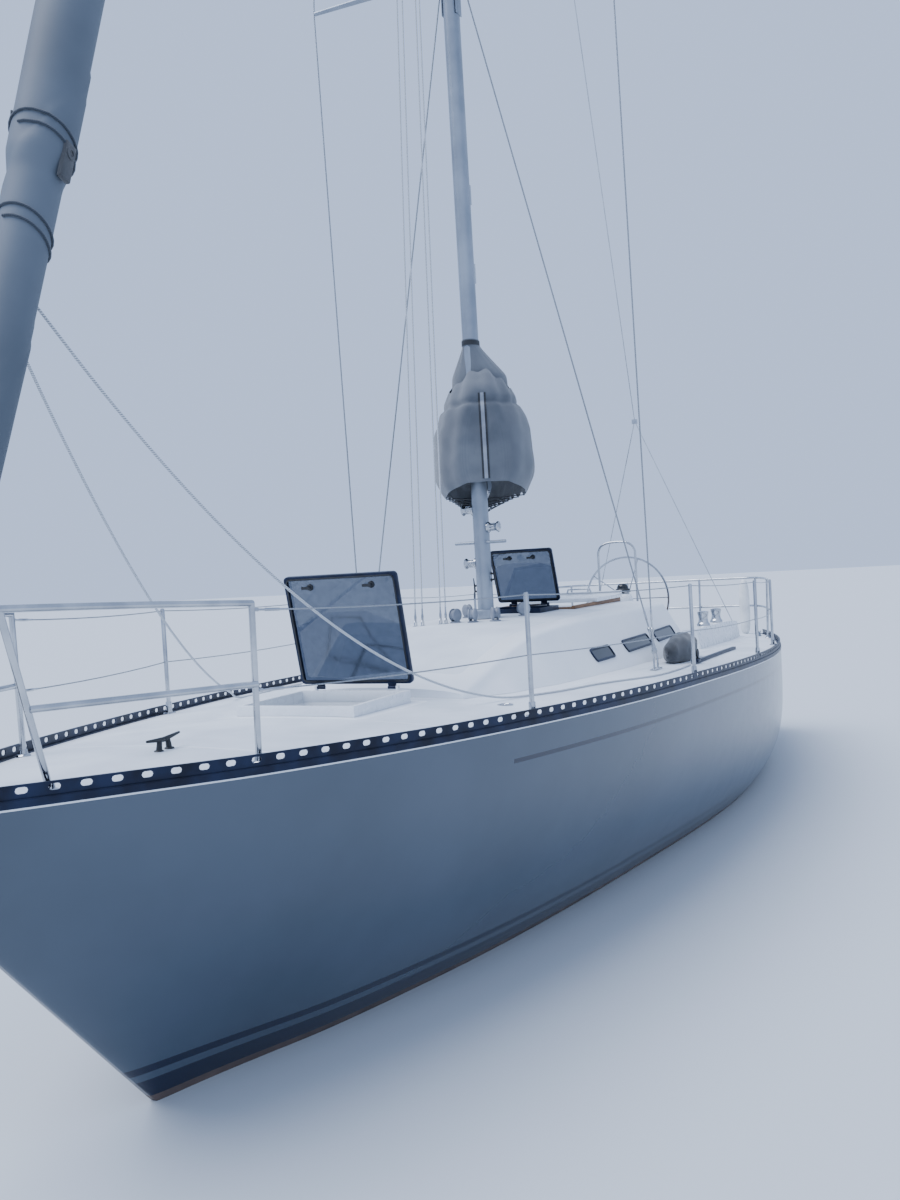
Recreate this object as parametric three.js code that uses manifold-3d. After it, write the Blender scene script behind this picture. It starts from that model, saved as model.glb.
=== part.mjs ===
// Sailing yacht: a racer-cruiser sloop afloat, sails stowed, built as separate named pieces.
// Millimetres. X points to the bow, Y to port, Z up. The origin is on the waterline, amidships.
import * as THREE from 'three';
import { mergeVertices } from 'three/addons/utils/BufferGeometryUtils.js';
import Module from 'manifold-3d';

const wasm = await Module();
wasm.setup();

// Driving dimensions
const LENGTH = 10600;          // stem head to the foot of the reversed transom
const BOW_X = LENGTH / 2;      // stem head, forward of the origin
const GAP = 0.3;               // clearance between pieces that bear on each other
const DECK_THICK = 30;         // deck moulding at its edge
const CAMBER = 0.045;          // deck crown, as a share of the half breadth
const MAST_S = 4950;           // mast centre, aft of the stem head
const MAST_LONG = 150;         // mast section, fore and aft
const MAST_WIDE = 106;         // mast section, athwartships
const MAST_TOP = 15200;        // masthead above the water
const GOOSENECK_Z = 2640;      // boom axis above the water
const BOOM_LENGTH = 4150;
const BOOM_SWING = 24;         // degrees, the boom as it lies, out to starboard
const DRAFT = 1850;
const LIFELINE_H = 610;        // stanchion height above the deck
const TUBE_R = 12.5;           // pulpit, pushpit and stanchion tube radius

const COLOURS = {
  white: { color: '#dfe6ea', roughness: 0.25, metalness: 0 },
  deck: { color: '#e6e9ea', roughness: 0.45, metalness: 0 },
  antifouling: { color: '#1d2c4c', roughness: 0.7, metalness: 0 },
  alloy: { color: '#9da3aa', roughness: 0.4, metalness: 0.9 },
  navyAlloy: { color: '#161d2e', roughness: 0.45, metalness: 0.6 },
  steel: { color: '#b9bcc0', roughness: 0.2, metalness: 1 },
  bronze: { color: '#9a7440', roughness: 0.35, metalness: 1 },
  acrylic: { color: '#2a2f3a', roughness: 0.1, metalness: 0 },
  teak: { color: '#8a6440', roughness: 0.7, metalness: 0 },
  sailcloth: { color: '#b7b3ae', roughness: 0.9, metalness: 0 },
  darkFabric: { color: '#2b2d31', roughness: 0.9, metalness: 0 },
};

const yacht = new THREE.Group();
const materials = Object.fromEntries(
  Object.entries(COLOURS).map(([key, look]) => [key, new THREE.MeshStandardMaterial(look)]));

function place(name, geometry, look) {
  const mesh = new THREE.Mesh(geometry, materials[look].clone());
  mesh.name = name;
  yacht.add(mesh);
  return geometry;
}

// Solids that join and cut
function solid(geometry) {
  const bare = geometry.clone();
  for (const key of Object.keys(bare.attributes)) if (key !== 'position') bare.deleteAttribute(key);
  const merged = mergeVertices(bare, 1e-3);
  return new wasm.Manifold(new wasm.Mesh({
    numProp: 3,
    vertProperties: new Float32Array(merged.attributes.position.array),
    triVerts: new Uint32Array(merged.index.array),
  }));
}

function geometryOf(body) {
  const { vertProperties, triVerts } = body.getMesh();
  const geometry = new THREE.BufferGeometry();
  geometry.setAttribute('position', new THREE.BufferAttribute(new Float32Array(vertProperties), 3));
  geometry.setIndex(new THREE.BufferAttribute(new Uint32Array(triVerts), 1));
  return geometry;
}

function join(...geometries) {
  return geometryOf(geometries.map(solid).reduce((all, one) => all.add(one)));
}

function cut(geometry, ...tools) {
  return geometryOf(tools.map(solid).reduce((all, one) => all.subtract(one), solid(geometry)));
}

// Simple shapes, all by real places
const v3 = (x, y, z) => new THREE.Vector3(x, y, z);
const fromStem = (s) => BOW_X - s;

function box(x0, x1, y0, y1, z0, z1) {
  const geometry = new THREE.BoxGeometry(Math.abs(x1 - x0), Math.abs(y1 - y0), Math.abs(z1 - z0));
  return geometry.translate((x0 + x1) / 2, (y0 + y1) / 2, (z0 + z1) / 2);
}

function bar(from, to, radius, sides = 8, radiusTo = radius, turned = 0) {
  const along = to.clone().sub(from);
  const geometry = new THREE.CylinderGeometry(radiusTo, radius, along.length(), sides, 1, false, turned);
  const turn = new THREE.Quaternion().setFromUnitVectors(v3(0, 1, 0), along.clone().normalize());
  geometry.applyQuaternion(turn);
  const middle = from.clone().add(to).multiplyScalar(0.5);
  return geometry.translate(middle.x, middle.y, middle.z);
}

function tube(points, radius = TUBE_R, steps = 24, segments = 4) {
  const outline = new THREE.Shape();
  outline.absarc(0, 0, radius, 0, Math.PI * 2);
  const path = new THREE.CatmullRomCurve3(points, false, 'centripetal');
  return new THREE.ExtrudeGeometry(outline, { steps, extrudePath: path, curveSegments: segments });
}

function rods(points, radius, sides = 8) {
  return points.slice(1).map((point, i) => bar(points[i], point, radius, sides));
}

function lathe(profile, at, sides = 16, way = v3(0, 0, 1)) {
  const geometry = new THREE.LatheGeometry(profile.map(([r, z]) => new THREE.Vector2(r, z)), sides);
  geometry.applyQuaternion(new THREE.Quaternion().setFromUnitVectors(v3(0, 1, 0), way));
  return geometry.translate(at.x, at.y, at.z);
}

// A closed skin over like loops of points. Each end is closed by a fan round its middle, or from the
// loop's first point where the middle lies outside the section
function loft(loops, fromFirst = false) {
  const count = loops[0].length;
  const positions = loops.flat().flatMap((p) => [p.x, p.y, p.z]);
  const index = [];
  for (let i = 0; i + 1 < loops.length; i += 1) {
    for (let j = 0; j < count; j += 1) {
      const a = i * count + j;
      const b = i * count + ((j + 1) % count);
      index.push(a, b, a + count, b, b + count, a + count);
    }
  }
  const ends = [[0, false], [loops.length - 1, true]];
  for (const [row, last] of ends) {
    if (fromFirst) {
      for (let j = 1; j + 1 < count; j += 1) {
        const [first, a, b] = [0, j, j + 1].map((k) => row * count + k);
        index.push(...(last ? [a, b, first] : [b, a, first]));
      }
      continue;
    }
    const centre = loops[row].reduce((sum, p) => sum.add(p), v3(0, 0, 0)).divideScalar(count);
    const middle = positions.length / 3;
    positions.push(centre.x, centre.y, centre.z);
    for (let j = 0; j < count; j += 1) {
      const a = row * count + j;
      const b = row * count + ((j + 1) % count);
      index.push(...(last ? [a, b, middle] : [b, a, middle]));
    }
  }
  const geometry = new THREE.BufferGeometry();
  geometry.setAttribute('position', new THREE.Float32BufferAttribute(positions, 3));
  geometry.setIndex(index);
  const body = solid(geometry);
  if (body.volume() >= 0) return geometry;
  const flipped = [];
  for (let i = 0; i < index.length; i += 3) flipped.push(index[i], index[i + 2], index[i + 1]);
  geometry.setIndex(flipped);
  return geometry;
}

// Hull frames, canted forward to follow the raked stem.
// s: aft of the stem head, at the deck edge and at the keel line; half breadths at the deck edge and
// at the water (0 where the frame is clear of it); heights; full: lower is fuller in the bilge
const FRAMES = [
  // sDeck, halfDeck, zDeck, sKeel, zKeel, halfWater, full
  [0, 20, 1400, 1400, -205, 20, 1],
  [350, 215, 1382, 1700, -290, 105, 0.9],
  [800, 455, 1362, 1950, -340, 210, 0.85],
  [1250, 680, 1342, 2230, -380, 335, 0.8],
  [2000, 955, 1312, 2680, -435, 500, 0.74],
  [2820, 1190, 1284, 3250, -480, 680, 0.7],
  [3800, 1400, 1254, 3950, -512, 860, 0.66],
  [4880, 1545, 1224, 4900, -530, 1050, 0.62],
  [6000, 1640, 1190, 6000, -530, 1240, 0.6],
  [7000, 1660, 1160, 7000, -498, 1350, 0.58],
  [8000, 1590, 1130, 8000, -420, 1330, 0.58],
  [8800, 1470, 1108, 8800, -300, 1180, 0.6],
  [9450, 1325, 1092, 9500, -140, 800, 0.64],
  [9900, 1210, 1083, 10050, 60, 0, 0.66],
  [10250, 1095, 1076, 10600, 250, 0, 0.68],
];
const [S_DECK, HALF_DECK, Z_DECK, S_KEEL, Z_KEEL, HALF_WATER, FULL] = [0, 1, 2, 3, 4, 5, 6];
const AFT_RISE = 3.2;          // how quickly frames clear of the water fill out
const LAST_FRAME = FRAMES.length - 1;

// A smooth value between the frames' values, u counted in frames from the stem
function between(column, u) {
  const i = Math.min(Math.floor(u), LAST_FRAME - 1);
  const t = u - i;
  const at = (k) => FRAMES[Math.max(0, Math.min(LAST_FRAME, k))][column];
  const [a, b, c, d] = [at(i - 1), at(i), at(i + 1), at(i + 2)];
  const [m0, m1] = [(c - a) / 2, (d - b) / 2];
  return (2 * t ** 3 - 3 * t * t + 1) * b + (t ** 3 - 2 * t * t + t) * m0
    + (3 * t * t - 2 * t ** 3) * c + (t ** 3 - t * t) * m1;
}

// A point of the hull's port side, rise 0 at the keel line to 1 at the deck edge
function hullPoint(u, rise) {
  const full = between(FULL, u);
  const [zKeel, zDeck] = [between(Z_KEEL, u), between(Z_DECK, u)];
  const water = -zKeel / (zDeck - zKeel);
  const ratio = between(HALF_WATER, u) / between(HALF_DECK, u);
  const wet = water > 0.05 && ratio > 0.05;
  const power = wet ? Math.log(1 - Math.min(ratio, 0.97) ** (1 / full)) / Math.log(1 - water) : AFT_RISE;
  const half = between(HALF_DECK, u) * (1 - (1 - rise) ** power) ** full;
  const s = between(S_KEEL, u) + (between(S_DECK, u) - between(S_KEEL, u)) * rise;
  return v3(fromStem(s), u < 1e-6 ? between(HALF_DECK, 0) : half, zKeel + (zDeck - zKeel) * rise);
}

const FRAME_STEPS = 34;        // frames drawn along the hull
const SIDE_STEPS = 11;         // points from keel line to deck edge
const stations = [...Array(FRAME_STEPS + 1).keys()].map((k) => (k / FRAME_STEPS) * LAST_FRAME);

function hullLoop(u) {
  const port = [];
  for (let j = 0; j <= SIDE_STEPS; j += 1) port.push(hullPoint(u, (j / SIDE_STEPS) ** 1.5));
  const keelFlat = Math.min(15, port[1].y);
  port[0].y = keelFlat;
  const starboard = port.map((p) => v3(p.x, -p.y, p.z)).reverse();
  return [...port, ...starboard];
}

// Deck edge at a distance aft of the stem head
function edgeAt(s) {
  let [low, high] = [0, LAST_FRAME];
  for (let i = 0; i < 40; i += 1) {
    const middle = (low + high) / 2;
    if (between(S_DECK, middle) < s) low = middle;
    else high = middle;
  }
  return { u: low, half: between(HALF_DECK, low), z: between(Z_DECK, low) };
}

function deckHeight(s, y) {
  const edge = edgeAt(s);
  const share = Math.min(1, Math.abs(y) / edge.half);
  return edge.z + DECK_THICK + CAMBER * edge.half * (1 - share * share);
}

const DECK_POINTS = 4;         // points from the centreline to the deck edge
function deckLoop(u, lift) {
  const [s, half, z] = [between(S_DECK, u), between(HALF_DECK, u), between(Z_DECK, u) + lift];
  const top = [];
  for (let j = -DECK_POINTS; j <= DECK_POINTS; j += 1) {
    const share = -j / DECK_POINTS;
    top.push(v3(fromStem(s), half * share, z + DECK_THICK + CAMBER * half * (1 - share * share)));
  }
  return [v3(fromStem(s), half, z + GAP), ...top, v3(fromStem(s), -half, z + GAP)];
}

// Hull openings, all below the deck: lockers and cabin seen through the hatches, and the cockpit
const FORE_HATCH = { s0: 2440, s1: 3000, half: 320 };
const ROOF_HATCH = { s0: 5400, s1: 5780, half: 230 };
const ENTRY = { s0: 6420, s1: 7060, half: 310 };
const COCKPIT = { s0: 7260, s1: 9420, half: 860, seat: 1010, wellHalf: 400, wellS1: 9180, sole: 700 };
const HIGH = 3000;
const across = (o, z0, z1, grow = 0) => box(
  fromStem(o.s0 - grow), fromStem(o.s1 + grow), -o.half - grow, o.half + grow, z0, z1);
const foreWell = across(FORE_HATCH, 760, HIGH);
const roofWell = across(ROOF_HATCH, 500, HIGH);
const entryWell = across(ENTRY, 250, HIGH);
const seatWell = across(COCKPIT, COCKPIT.seat, HIGH);
const footWell = box(fromStem(COCKPIT.s0), fromStem(COCKPIT.wellS1),
  -COCKPIT.wellHalf, COCKPIT.wellHalf, COCKPIT.sole, HIGH);
const deckLow = loft(stations.map((u) => deckLoop(u, 0)));
const deckRaised = solid(loft(stations.map((u) => deckLoop(u, GAP))));

// A piece that bears on the deck, trimmed to its crown
const onDeck = (geometry) => geometryOf(solid(geometry).subtract(deckRaised));

// Rudder stock, raked aft, and the trunk in the hull that it turns in
const STOCK = { top: v3(fromStem(9120), 0, 380), rake: THREE.MathUtils.degToRad(6), r: 24, sides: 12, headZ: -110 };
const stockDown = v3(-Math.sin(STOCK.rake), 0, -Math.cos(STOCK.rake));
const stockAt = (z) => STOCK.top.clone().addScaledVector(stockDown, (z - STOCK.top.z) / stockDown.z);
const trunkR = (STOCK.r + GAP) / Math.cos(Math.PI / STOCK.sides);
const rudderTrunk = bar(stockAt(-420), stockAt(STOCK.headZ + 1), trunkR, STOCK.sides, trunkR, Math.PI / STOCK.sides);

place('hull', cut(loft(stations.map(hullLoop)),
  foreWell, roofWell, entryWell, seatWell, footWell, rudderTrunk), 'white');
place('deck', cut(deckLow, foreWell, roofWell, entryWell, seatWell), 'deck');

// Coachroof: a low wedge that rises from the foredeck to the mast, then runs level to the cockpit.
// s, height of the roof on the centreline, half breadth at the roof edge, half breadth at the deck
const ROOF_FRAMES = [
  [3230, 1415, 560, 700],
  [3600, 1530, 590, 790],
  [4050, 1645, 620, 860],
  [4500, 1682, 655, 910],
  [5100, 1692, 700, 960],
  [6000, 1690, 735, 1000],
  [7180, 1680, 735, 1000],
];
const ROOF_CROWN = 34;
const ROOF_SHOULDER = 55;      // width of the rounded shoulder
function roofLoop([s, top, halfTop, halfDeck]) {
  const x = fromStem(s);
  const foot = edgeAt(s).z + DECK_THICK / 2;
  const edge = top - ROOF_CROWN;
  const port = [
    [halfDeck, foot], [halfTop + ROOF_SHOULDER * 0.35, edge - ROOF_SHOULDER], [halfTop, edge - 12],
    [halfTop - ROOF_SHOULDER, edge + 6], [halfTop * 0.5, top - ROOF_CROWN * 0.25], [0, top],
  ];
  const starboard = port.slice(0, -1).reverse().map(([y, z]) => [-y, z]);
  return [...port, ...starboard].map(([y, z]) => v3(x, y, z));
}
const roofSolid = loft(ROOF_FRAMES.map(roofLoop));
const roofShell = geometryOf(solid(cut(roofSolid, roofWell, entryWell,
  box(fromStem(ENTRY.s1 - 10), fromStem(7300), -ENTRY.half, ENTRY.half, 1305, HIGH))).subtract(deckRaised));
place('coachroof', roofShell, 'white');

function roofHeight(s, y = 0) {
  const rows = ROOF_FRAMES;
  const i = Math.max(1, rows.findIndex((row) => row[0] >= s));
  const t = (s - rows[i - 1][0]) / (rows[i][0] - rows[i - 1][0]);
  const top = rows[i - 1][1] + (rows[i][1] - rows[i - 1][1]) * t;
  return top - (Math.abs(y) / 340) * ROOF_CROWN * 0.25;
}

// A piece that bears on the coachroof, trimmed to it
const roofRaised = solid(roofSolid.clone().translate(0, 0, GAP));
const onRoof = (geometry) => geometryOf(solid(geometry).subtract(roofRaised));

// Hatches: a coaming ring round each opening, and an acrylic lid hinged at the coaming's aft edge
function coaming(o, wall, z0, z1) {
  return cut(across(o, z0, z1, wall), across(o, z0 - 50, z1 + 50, 0));
}

// Hinge at the coaming's aft edge: its axis lies HINGE.aft behind the coaming and HINGE.up above it.
// The coaming carries two lugs and the lid two knuckles, inboard of the lugs.
const HINGE = { aft: 24, up: 12, lugY: 200, lugWide: 15, knuckle: 50, r: 9, ring: 18 };
function hingeAxis(o, wall, top) {
  return { x: fromStem(o.s1 + wall + HINGE.aft), z: top + HINGE.up };
}

function hatchLugs(axis, lugY) {
  return [1, -1].flatMap((sign) => {
    const [y0, y1] = [sign * (lugY + GAP), sign * (lugY + HINGE.lugWide)];
    return [box(axis.x - 12, axis.x + HINGE.aft + 4, y0, y1, axis.z - 32, axis.z - HINGE.up - 2),
      box(axis.x - 12, axis.x + 10, y0, y1, axis.z - 32, axis.z + 10)];
  });
}

function hatchLid(o, axis, wall, lugY, frameHigh, paneThick, openDeg) {
  const length = o.s1 - o.s0 + 2 * wall + HINGE.aft + 5;
  const half = o.half + wall + 5;
  const rim = 38;
  const ring = cut(box(HINGE.ring, length, -half, half, 0, frameHigh),
    box(HINGE.ring + rim, length - rim, -half + rim, half - rim, -50, frameHigh - paneThick));
  const knuckles = [1, -1].flatMap((sign) => {
    const [y0, y1] = [sign * (lugY - HINGE.knuckle), sign * lugY];
    return [bar(v3(0, y0, 0), v3(0, y1, 0), HINGE.r, 10), box(0, HINGE.ring + 14, y0, y1, 1, 9)];
  });
  const lid = join(ring, ...knuckles).rotateY(-THREE.MathUtils.degToRad(openDeg));
  return lid.translate(axis.x, 0, axis.z);
}

const FORE_LID = { wall: 26, top: 1425, lugY: 250, open: 78 };
const foreAxis = hingeAxis(FORE_HATCH, FORE_LID.wall, FORE_LID.top);
place('foredeck_hatch_coaming', onDeck(join(coaming(FORE_HATCH, FORE_LID.wall, 1330, FORE_LID.top),
  ...hatchLugs(foreAxis, FORE_LID.lugY))), 'navyAlloy');
place('foredeck_hatch_lid',
  hatchLid(FORE_HATCH, foreAxis, FORE_LID.wall, FORE_LID.lugY, 34, 12, FORE_LID.open), 'acrylic');
const ROOF_LID = { wall: 22, top: 1722, lugY: 150, open: 70 };
const roofAxis = hingeAxis(ROOF_HATCH, ROOF_LID.wall, ROOF_LID.top);
place('roof_hatch_coaming', onRoof(join(coaming(ROOF_HATCH, ROOF_LID.wall, 1600, ROOF_LID.top),
  ...hatchLugs(roofAxis, ROOF_LID.lugY))), 'navyAlloy');
place('roof_hatch_lid',
  hatchLid(ROOF_HATCH, roofAxis, ROOF_LID.wall, ROOF_LID.lugY, 30, 10, ROOF_LID.open), 'acrylic');

// Companionway: slide on two runners over the entry, and the boards that close it
const RUNNER = { y: 338, wide: 24, s0: 5850, s1: 7150, z0: 1640, z1: 1708 };
const runners = [1, -1].map((sign) => box(fromStem(RUNNER.s0), fromStem(RUNNER.s1),
  sign * RUNNER.y, sign * (RUNNER.y + RUNNER.wide), RUNNER.z0, RUNNER.z1));
place('slide_runners', onRoof(join(...runners, box(fromStem(RUNNER.s0), fromStem(RUNNER.s0 + 30),
  -RUNNER.y - 5, RUNNER.y + 5, RUNNER.z0, RUNNER.z1 - 8))), 'teak');
const SLIDE = { s0: 6400, s1: 7150, half: RUNNER.y + RUNNER.wide + 16, z0: RUNNER.z1 + GAP, z1: RUNNER.z1 + 32 };
place('companionway_slide', join(
  box(fromStem(SLIDE.s0), fromStem(SLIDE.s1), -SLIDE.half, SLIDE.half, SLIDE.z0, SLIDE.z1),
  box(fromStem(SLIDE.s1 - 40), fromStem(SLIDE.s1), -SLIDE.half, SLIDE.half, SLIDE.z0, SLIDE.z1 + 26)), 'white');
place('companionway_boards', onDeck(box(fromStem(7180 + GAP), fromStem(7205),
  -ENTRY.half - 35, ENTRY.half + 35, 1180, 1640)), 'teak');

// Cockpit coamings: s, height of the top, inner and outer half breadths
const COAMING_ROWS = [[7180 + GAP, 1400, 870, 1045], [8700, 1370, 870, 1045], [9430, 1310, 870, 990]];
const coamingTop = (s) => COAMING_ROWS[0][1]
  + ((COAMING_ROWS[1][1] - COAMING_ROWS[0][1]) * (s - COAMING_ROWS[0][0])) / (COAMING_ROWS[1][0] - COAMING_ROWS[0][0]);
for (const [side, sign] of [['port', 1], ['starboard', -1]]) {
  const loops = COAMING_ROWS.map(([s, top, inner, outer]) => {
    const x = fromStem(s);
    const foot = edgeAt(s).z + DECK_THICK / 2;
    const corners = [[inner, foot], [inner, top - 20], [inner + 14, top], [outer - 30, top], [outer, foot]];
    return corners.map(([y, z]) => v3(x, sign * y, z));
  });
  place(`cockpit_coaming_${side}`, onDeck(loft(loops)), 'white');
}

// Fin keel: a ballast casting of tapered foil sections, its root faired to the hull
function foil(chord, halfThick, x, z, count = 16) {
  const points = [];
  for (let i = 0; i < count; i += 1) {
    const angle = (i / count) * Math.PI * 2;
    const along = (1 - Math.cos(angle)) / 2;
    const shape = 2.969 * Math.sqrt(along) - 1.26 * along - 3.516 * along ** 2
      + 2.843 * along ** 3 - 1.036 * along ** 4;
    points.push(v3(x - chord * along, i % (count / 2) ? Math.sign(Math.sin(angle)) * halfThick * shape : 0, z));
  }
  return points;
}
const hullRaw = solid(loft(stations.map(hullLoop)).clone().translate(0, 0, -GAP));
const KEEL = { rootX: fromStem(4550), rootChord: 2150, rootZ: -400, tipX: fromStem(5250), tipChord: 1250 };
place('fin_keel', geometryOf(solid(loft([
  foil(KEEL.rootChord, 118, KEEL.rootX, KEEL.rootZ),
  foil(1700, 104, fromStem(4900), -1100),
  foil(KEEL.tipChord, 88, KEEL.tipX, -DRAFT + 40),
  foil(KEEL.tipChord - 120, 50, KEEL.tipX - 60, -DRAFT),
])).subtract(hullRaw)), 'antifouling');

// Spade rudder on its stock, the shaft strut, the shaft and the propeller
const RUDDER_TOP_Z = -330;
const RUDDER_TIP_Z = -1480;
const rudderLoop = (z, chord, halfThick) => foil(chord, halfThick, stockAt(z).x + chord * 0.22, z);
place('rudder', join(
  loft([rudderLoop(RUDDER_TOP_Z, 560, 40), rudderLoop(-900, 480, 33), rudderLoop(RUDDER_TIP_Z + 20, 340, 22),
    rudderLoop(RUDDER_TIP_Z, 300, 10)]),
  bar(stockAt(RUDDER_TOP_Z - 60), stockAt(STOCK.headZ), STOCK.r, STOCK.sides)), 'antifouling');

const SHAFT = { from: v3(fromStem(7150), 0, -478), to: v3(fromStem(8260), 0, -610), r: 14 };
const shaftWay = SHAFT.to.clone().sub(SHAFT.from).normalize();
const onShaft = (distance) => SHAFT.to.clone().addScaledVector(shaftWay, distance);
const PROP_S = 30;             // where the propeller's hub starts, along the shaft
const HUB_LONG = 90;
place('shaft_strut', geometryOf(solid(join(
  bar(onShaft(-130), onShaft(-20), 34, 14),
  loft([foil(90, 9, onShaft(-75).x + 45, onShaft(-75).z + 10, 12), foil(120, 11, onShaft(-75).x + 70, -300, 12)]),
)).subtract(hullRaw).subtract(solid(bar(onShaft(-400), onShaft(200), SHAFT.r + GAP, 16)))), 'bronze');
place('propeller_shaft', geometryOf(solid(bar(onShaft(-1240), onShaft(PROP_S - GAP), SHAFT.r, 12)).subtract(hullRaw)), 'steel');

const blades = [0, 1, 2].map((k) => {
  const blade = new THREE.SphereGeometry(1, 8, 6).scale(11, 62, 96).rotateZ(0.5).translate(0, 0, 106);
  return blade.rotateX((k * Math.PI * 2) / 3);
});
const hub = new THREE.CylinderGeometry(20, 30, HUB_LONG, 14).rotateZ(Math.PI / 2);
const propeller = join(hub, ...blades);
propeller.applyQuaternion(new THREE.Quaternion().setFromUnitVectors(v3(-1, 0, 0), shaftWay));
propeller.translate(...onShaft(PROP_S + HUB_LONG / 2).toArray());
place('propeller', propeller, 'bronze');

// Toe rail: a dark anodised strip along each deck edge
const TOE = { high: 52, thick: 8, inset: 6, s0: 200, s1: 10200, steps: 32 };
for (const [side, sign] of [['port', 1], ['starboard', -1]]) {
  const loops = [];
  for (let k = 0; k <= TOE.steps; k += 1) {
    const edge = edgeAt(TOE.s0 + ((TOE.s1 - TOE.s0) * k) / TOE.steps);
    const x = fromStem(between(S_DECK, edge.u));
    const outer = Math.max(edge.half - TOE.inset, 12);
    const foot = edge.z + DECK_THICK + GAP;
    const corners = [[outer, foot + 2], [outer, foot + TOE.high], [outer - TOE.thick, foot + TOE.high],
      [outer - TOE.thick, foot + 10], [outer - 30, foot + 10], [outer - 30, foot + 3]];
    loops.push(corners.map(([y, z]) => v3(x, sign * Math.max(y, 2), z)));
  }
  place(`toe_rail_${side}`, onDeck(loft(loops, true)), 'navyAlloy');
}

// Stem head fitting with the roller for the anchor line
place('stem_head_fitting', onDeck(join(
  box(fromStem(300), fromStem(3), -18, 18, 1406, 1452),
  box(fromStem(300), fromStem(-30), -40, 40, 1433, 1452),
  box(fromStem(-20), fromStem(-110), -34, 34, 1424, 1452))), 'steel');

// Pulpit at the bow and pushpit at the stern, in polished tube
function guard(name, rows, feet, look = 'steel') {
  const rails = rows.map((row) => {
    const port = row.points.map(([s, y, z]) => v3(fromStem(s), y, z));
    const starboard = port.map((p) => v3(p.x, -p.y, p.z)).reverse();
    return tube(row.open ? port : [...port, ...starboard], TUBE_R, row.steps, 4);
  });
  const legs = feet.flatMap(([s, y, s1, y1, z1]) => [1, -1].flatMap((sign) => {
    const foot = deckHeight(s, y);
    return [bar(v3(fromStem(s), sign * y, foot - 12), v3(fromStem(s1), sign * y1, z1), TUBE_R),
      bar(v3(fromStem(s), sign * y, foot - 12), v3(fromStem(s), sign * y, foot + 9), 30, 10)];
  }));
  place(name, onDeck(join(...rails, ...legs)), look);
}
guard('pulpit', [
  { points: [[1250, 612, 1985], [800, 470, 2010], [350, 330, 2030], [0, 215, 2040], [-180, 90, 2045]], steps: 24 },
  { points: [[1250, 615, 1680], [850, 450, 1690], [455, 288, 1700]], steps: 6, open: true },
  { points: [[1250, -615, 1680], [850, -450, 1690], [455, -288, 1700]], steps: 6, open: true },
], [
  [1250, 600, 1250, 612, 1985],
  [560, 245, 330, 322, 2030],
]);
guard('pushpit', [
  { points: [[9330, 1300, 1735], [9800, 1190, 1735], [10130, 1040, 1735], [10230, 760, 1735], [10240, 300, 1735]],
    steps: 20 },
  { points: [[9330, 1305, 1425], [9800, 1195, 1425], [10130, 1045, 1425], [10230, 765, 1425], [10240, 300, 1425]],
    steps: 20 },
], [
  [9330, 1285, 9330, 1300, 1735],
  [10090, 1060, 10100, 1062, 1735],
  [10190, 420, 10238, 420, 1735],
]);

// Stanchions, each in its own base
const STANCHIONS = [2820, 4880, 6700, 8200];
const STANCHION_INSET = 74;
for (const [side, sign] of [['port', 1], ['starboard', -1]]) {
  STANCHIONS.forEach((s, k) => {
    const y = sign * (edgeAt(s).half - STANCHION_INSET);
    const foot = deckHeight(s, y);
    place(`stanchion_${side}_${k + 1}`, onDeck(join(
      bar(v3(fromStem(s), y, foot - 20), v3(fromStem(s), y, foot + LIFELINE_H), TUBE_R, 10),
      box(fromStem(s + 32), fromStem(s - 32), y - 26, y + 26, foot - 20, foot + 8),
      bar(v3(fromStem(s), y, foot), v3(fromStem(s), y, foot + 70), 17, 10))), 'steel');
  });
}

// Mast: an oval alloy section stepped on the roof through a collar
const mastX = fromStem(MAST_S);
function ovalBar(x, y, z0, z1, long, wide, sides = 16) {
  const geometry = new THREE.CylinderGeometry(0.5, 0.5, z1 - z0, sides).rotateX(Math.PI / 2);
  return geometry.scale(long, wide, 1).translate(x, y, (z0 + z1) / 2);
}
const mastFoot = roofHeight(MAST_S + MAST_LONG / 2) + GAP;
const mastWinch = (x, sign, z) => bar(v3(x, sign * (MAST_WIDE / 2 - 14), z),
  v3(x, sign * (MAST_WIDE / 2 + 78), z), 42, 12, 36);
place('mast', join(ovalBar(mastX, 0, mastFoot, MAST_TOP, MAST_LONG, MAST_WIDE),
  mastWinch(mastX, -1, 2460), mastWinch(mastX, 1, 2330), mastWinch(mastX, -1, 2080),
  bar(v3(mastX + 30, -195, 2225), v3(mastX + 30, 195, 2225), 11)), 'alloy');
const mastHole = ovalBar(mastX, 0, 1000, MAST_TOP + 100, MAST_LONG + 2 * GAP, MAST_WIDE + 2 * GAP);
place('mast_collar', onRoof(cut(ovalBar(mastX, 0, 1600, 1752, MAST_LONG + 90, MAST_WIDE + 90), mastHole)), 'alloy');
// Spreaders: height, half span, sweep aft
const SPREADERS = [
  { name: 'lower', z: 6200, half: 1130, sweep: 60 },
  { name: 'upper', z: 10400, half: 860, sweep: 50 },
];
// An ear below which a wire ends
const LUG = { deep: 14, long: 24 };
const lug = (x, sign, y0, y1, z) => box(x - LUG.long / 2, x + LUG.long / 2, sign * y0, sign * y1, z, z + LUG.deep);
const LOWER_ROOT = { x: mastX - 30, y: 82, z: SPREADERS[0].z - 54 };
for (const { name, z, half, sweep } of SPREADERS) {
  const arms = [1, -1].map((sign) => bar(v3(mastX, 0, z), v3(mastX - sweep, sign * half, z + 40), 30, 10, 16));
  const ears = name === 'lower' ? [1, -1].map((sign) => lug(LOWER_ROOT.x, sign, 50, 96, LOWER_ROOT.z)) : [];
  const bracket = ovalBar(mastX, 0, z - 60, z + 60, MAST_LONG + 30, MAST_WIDE + 30);
  place(`spreaders_${name}`, cut(join(...arms, ...ears, bracket), mastHole), 'alloy');
}

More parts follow.
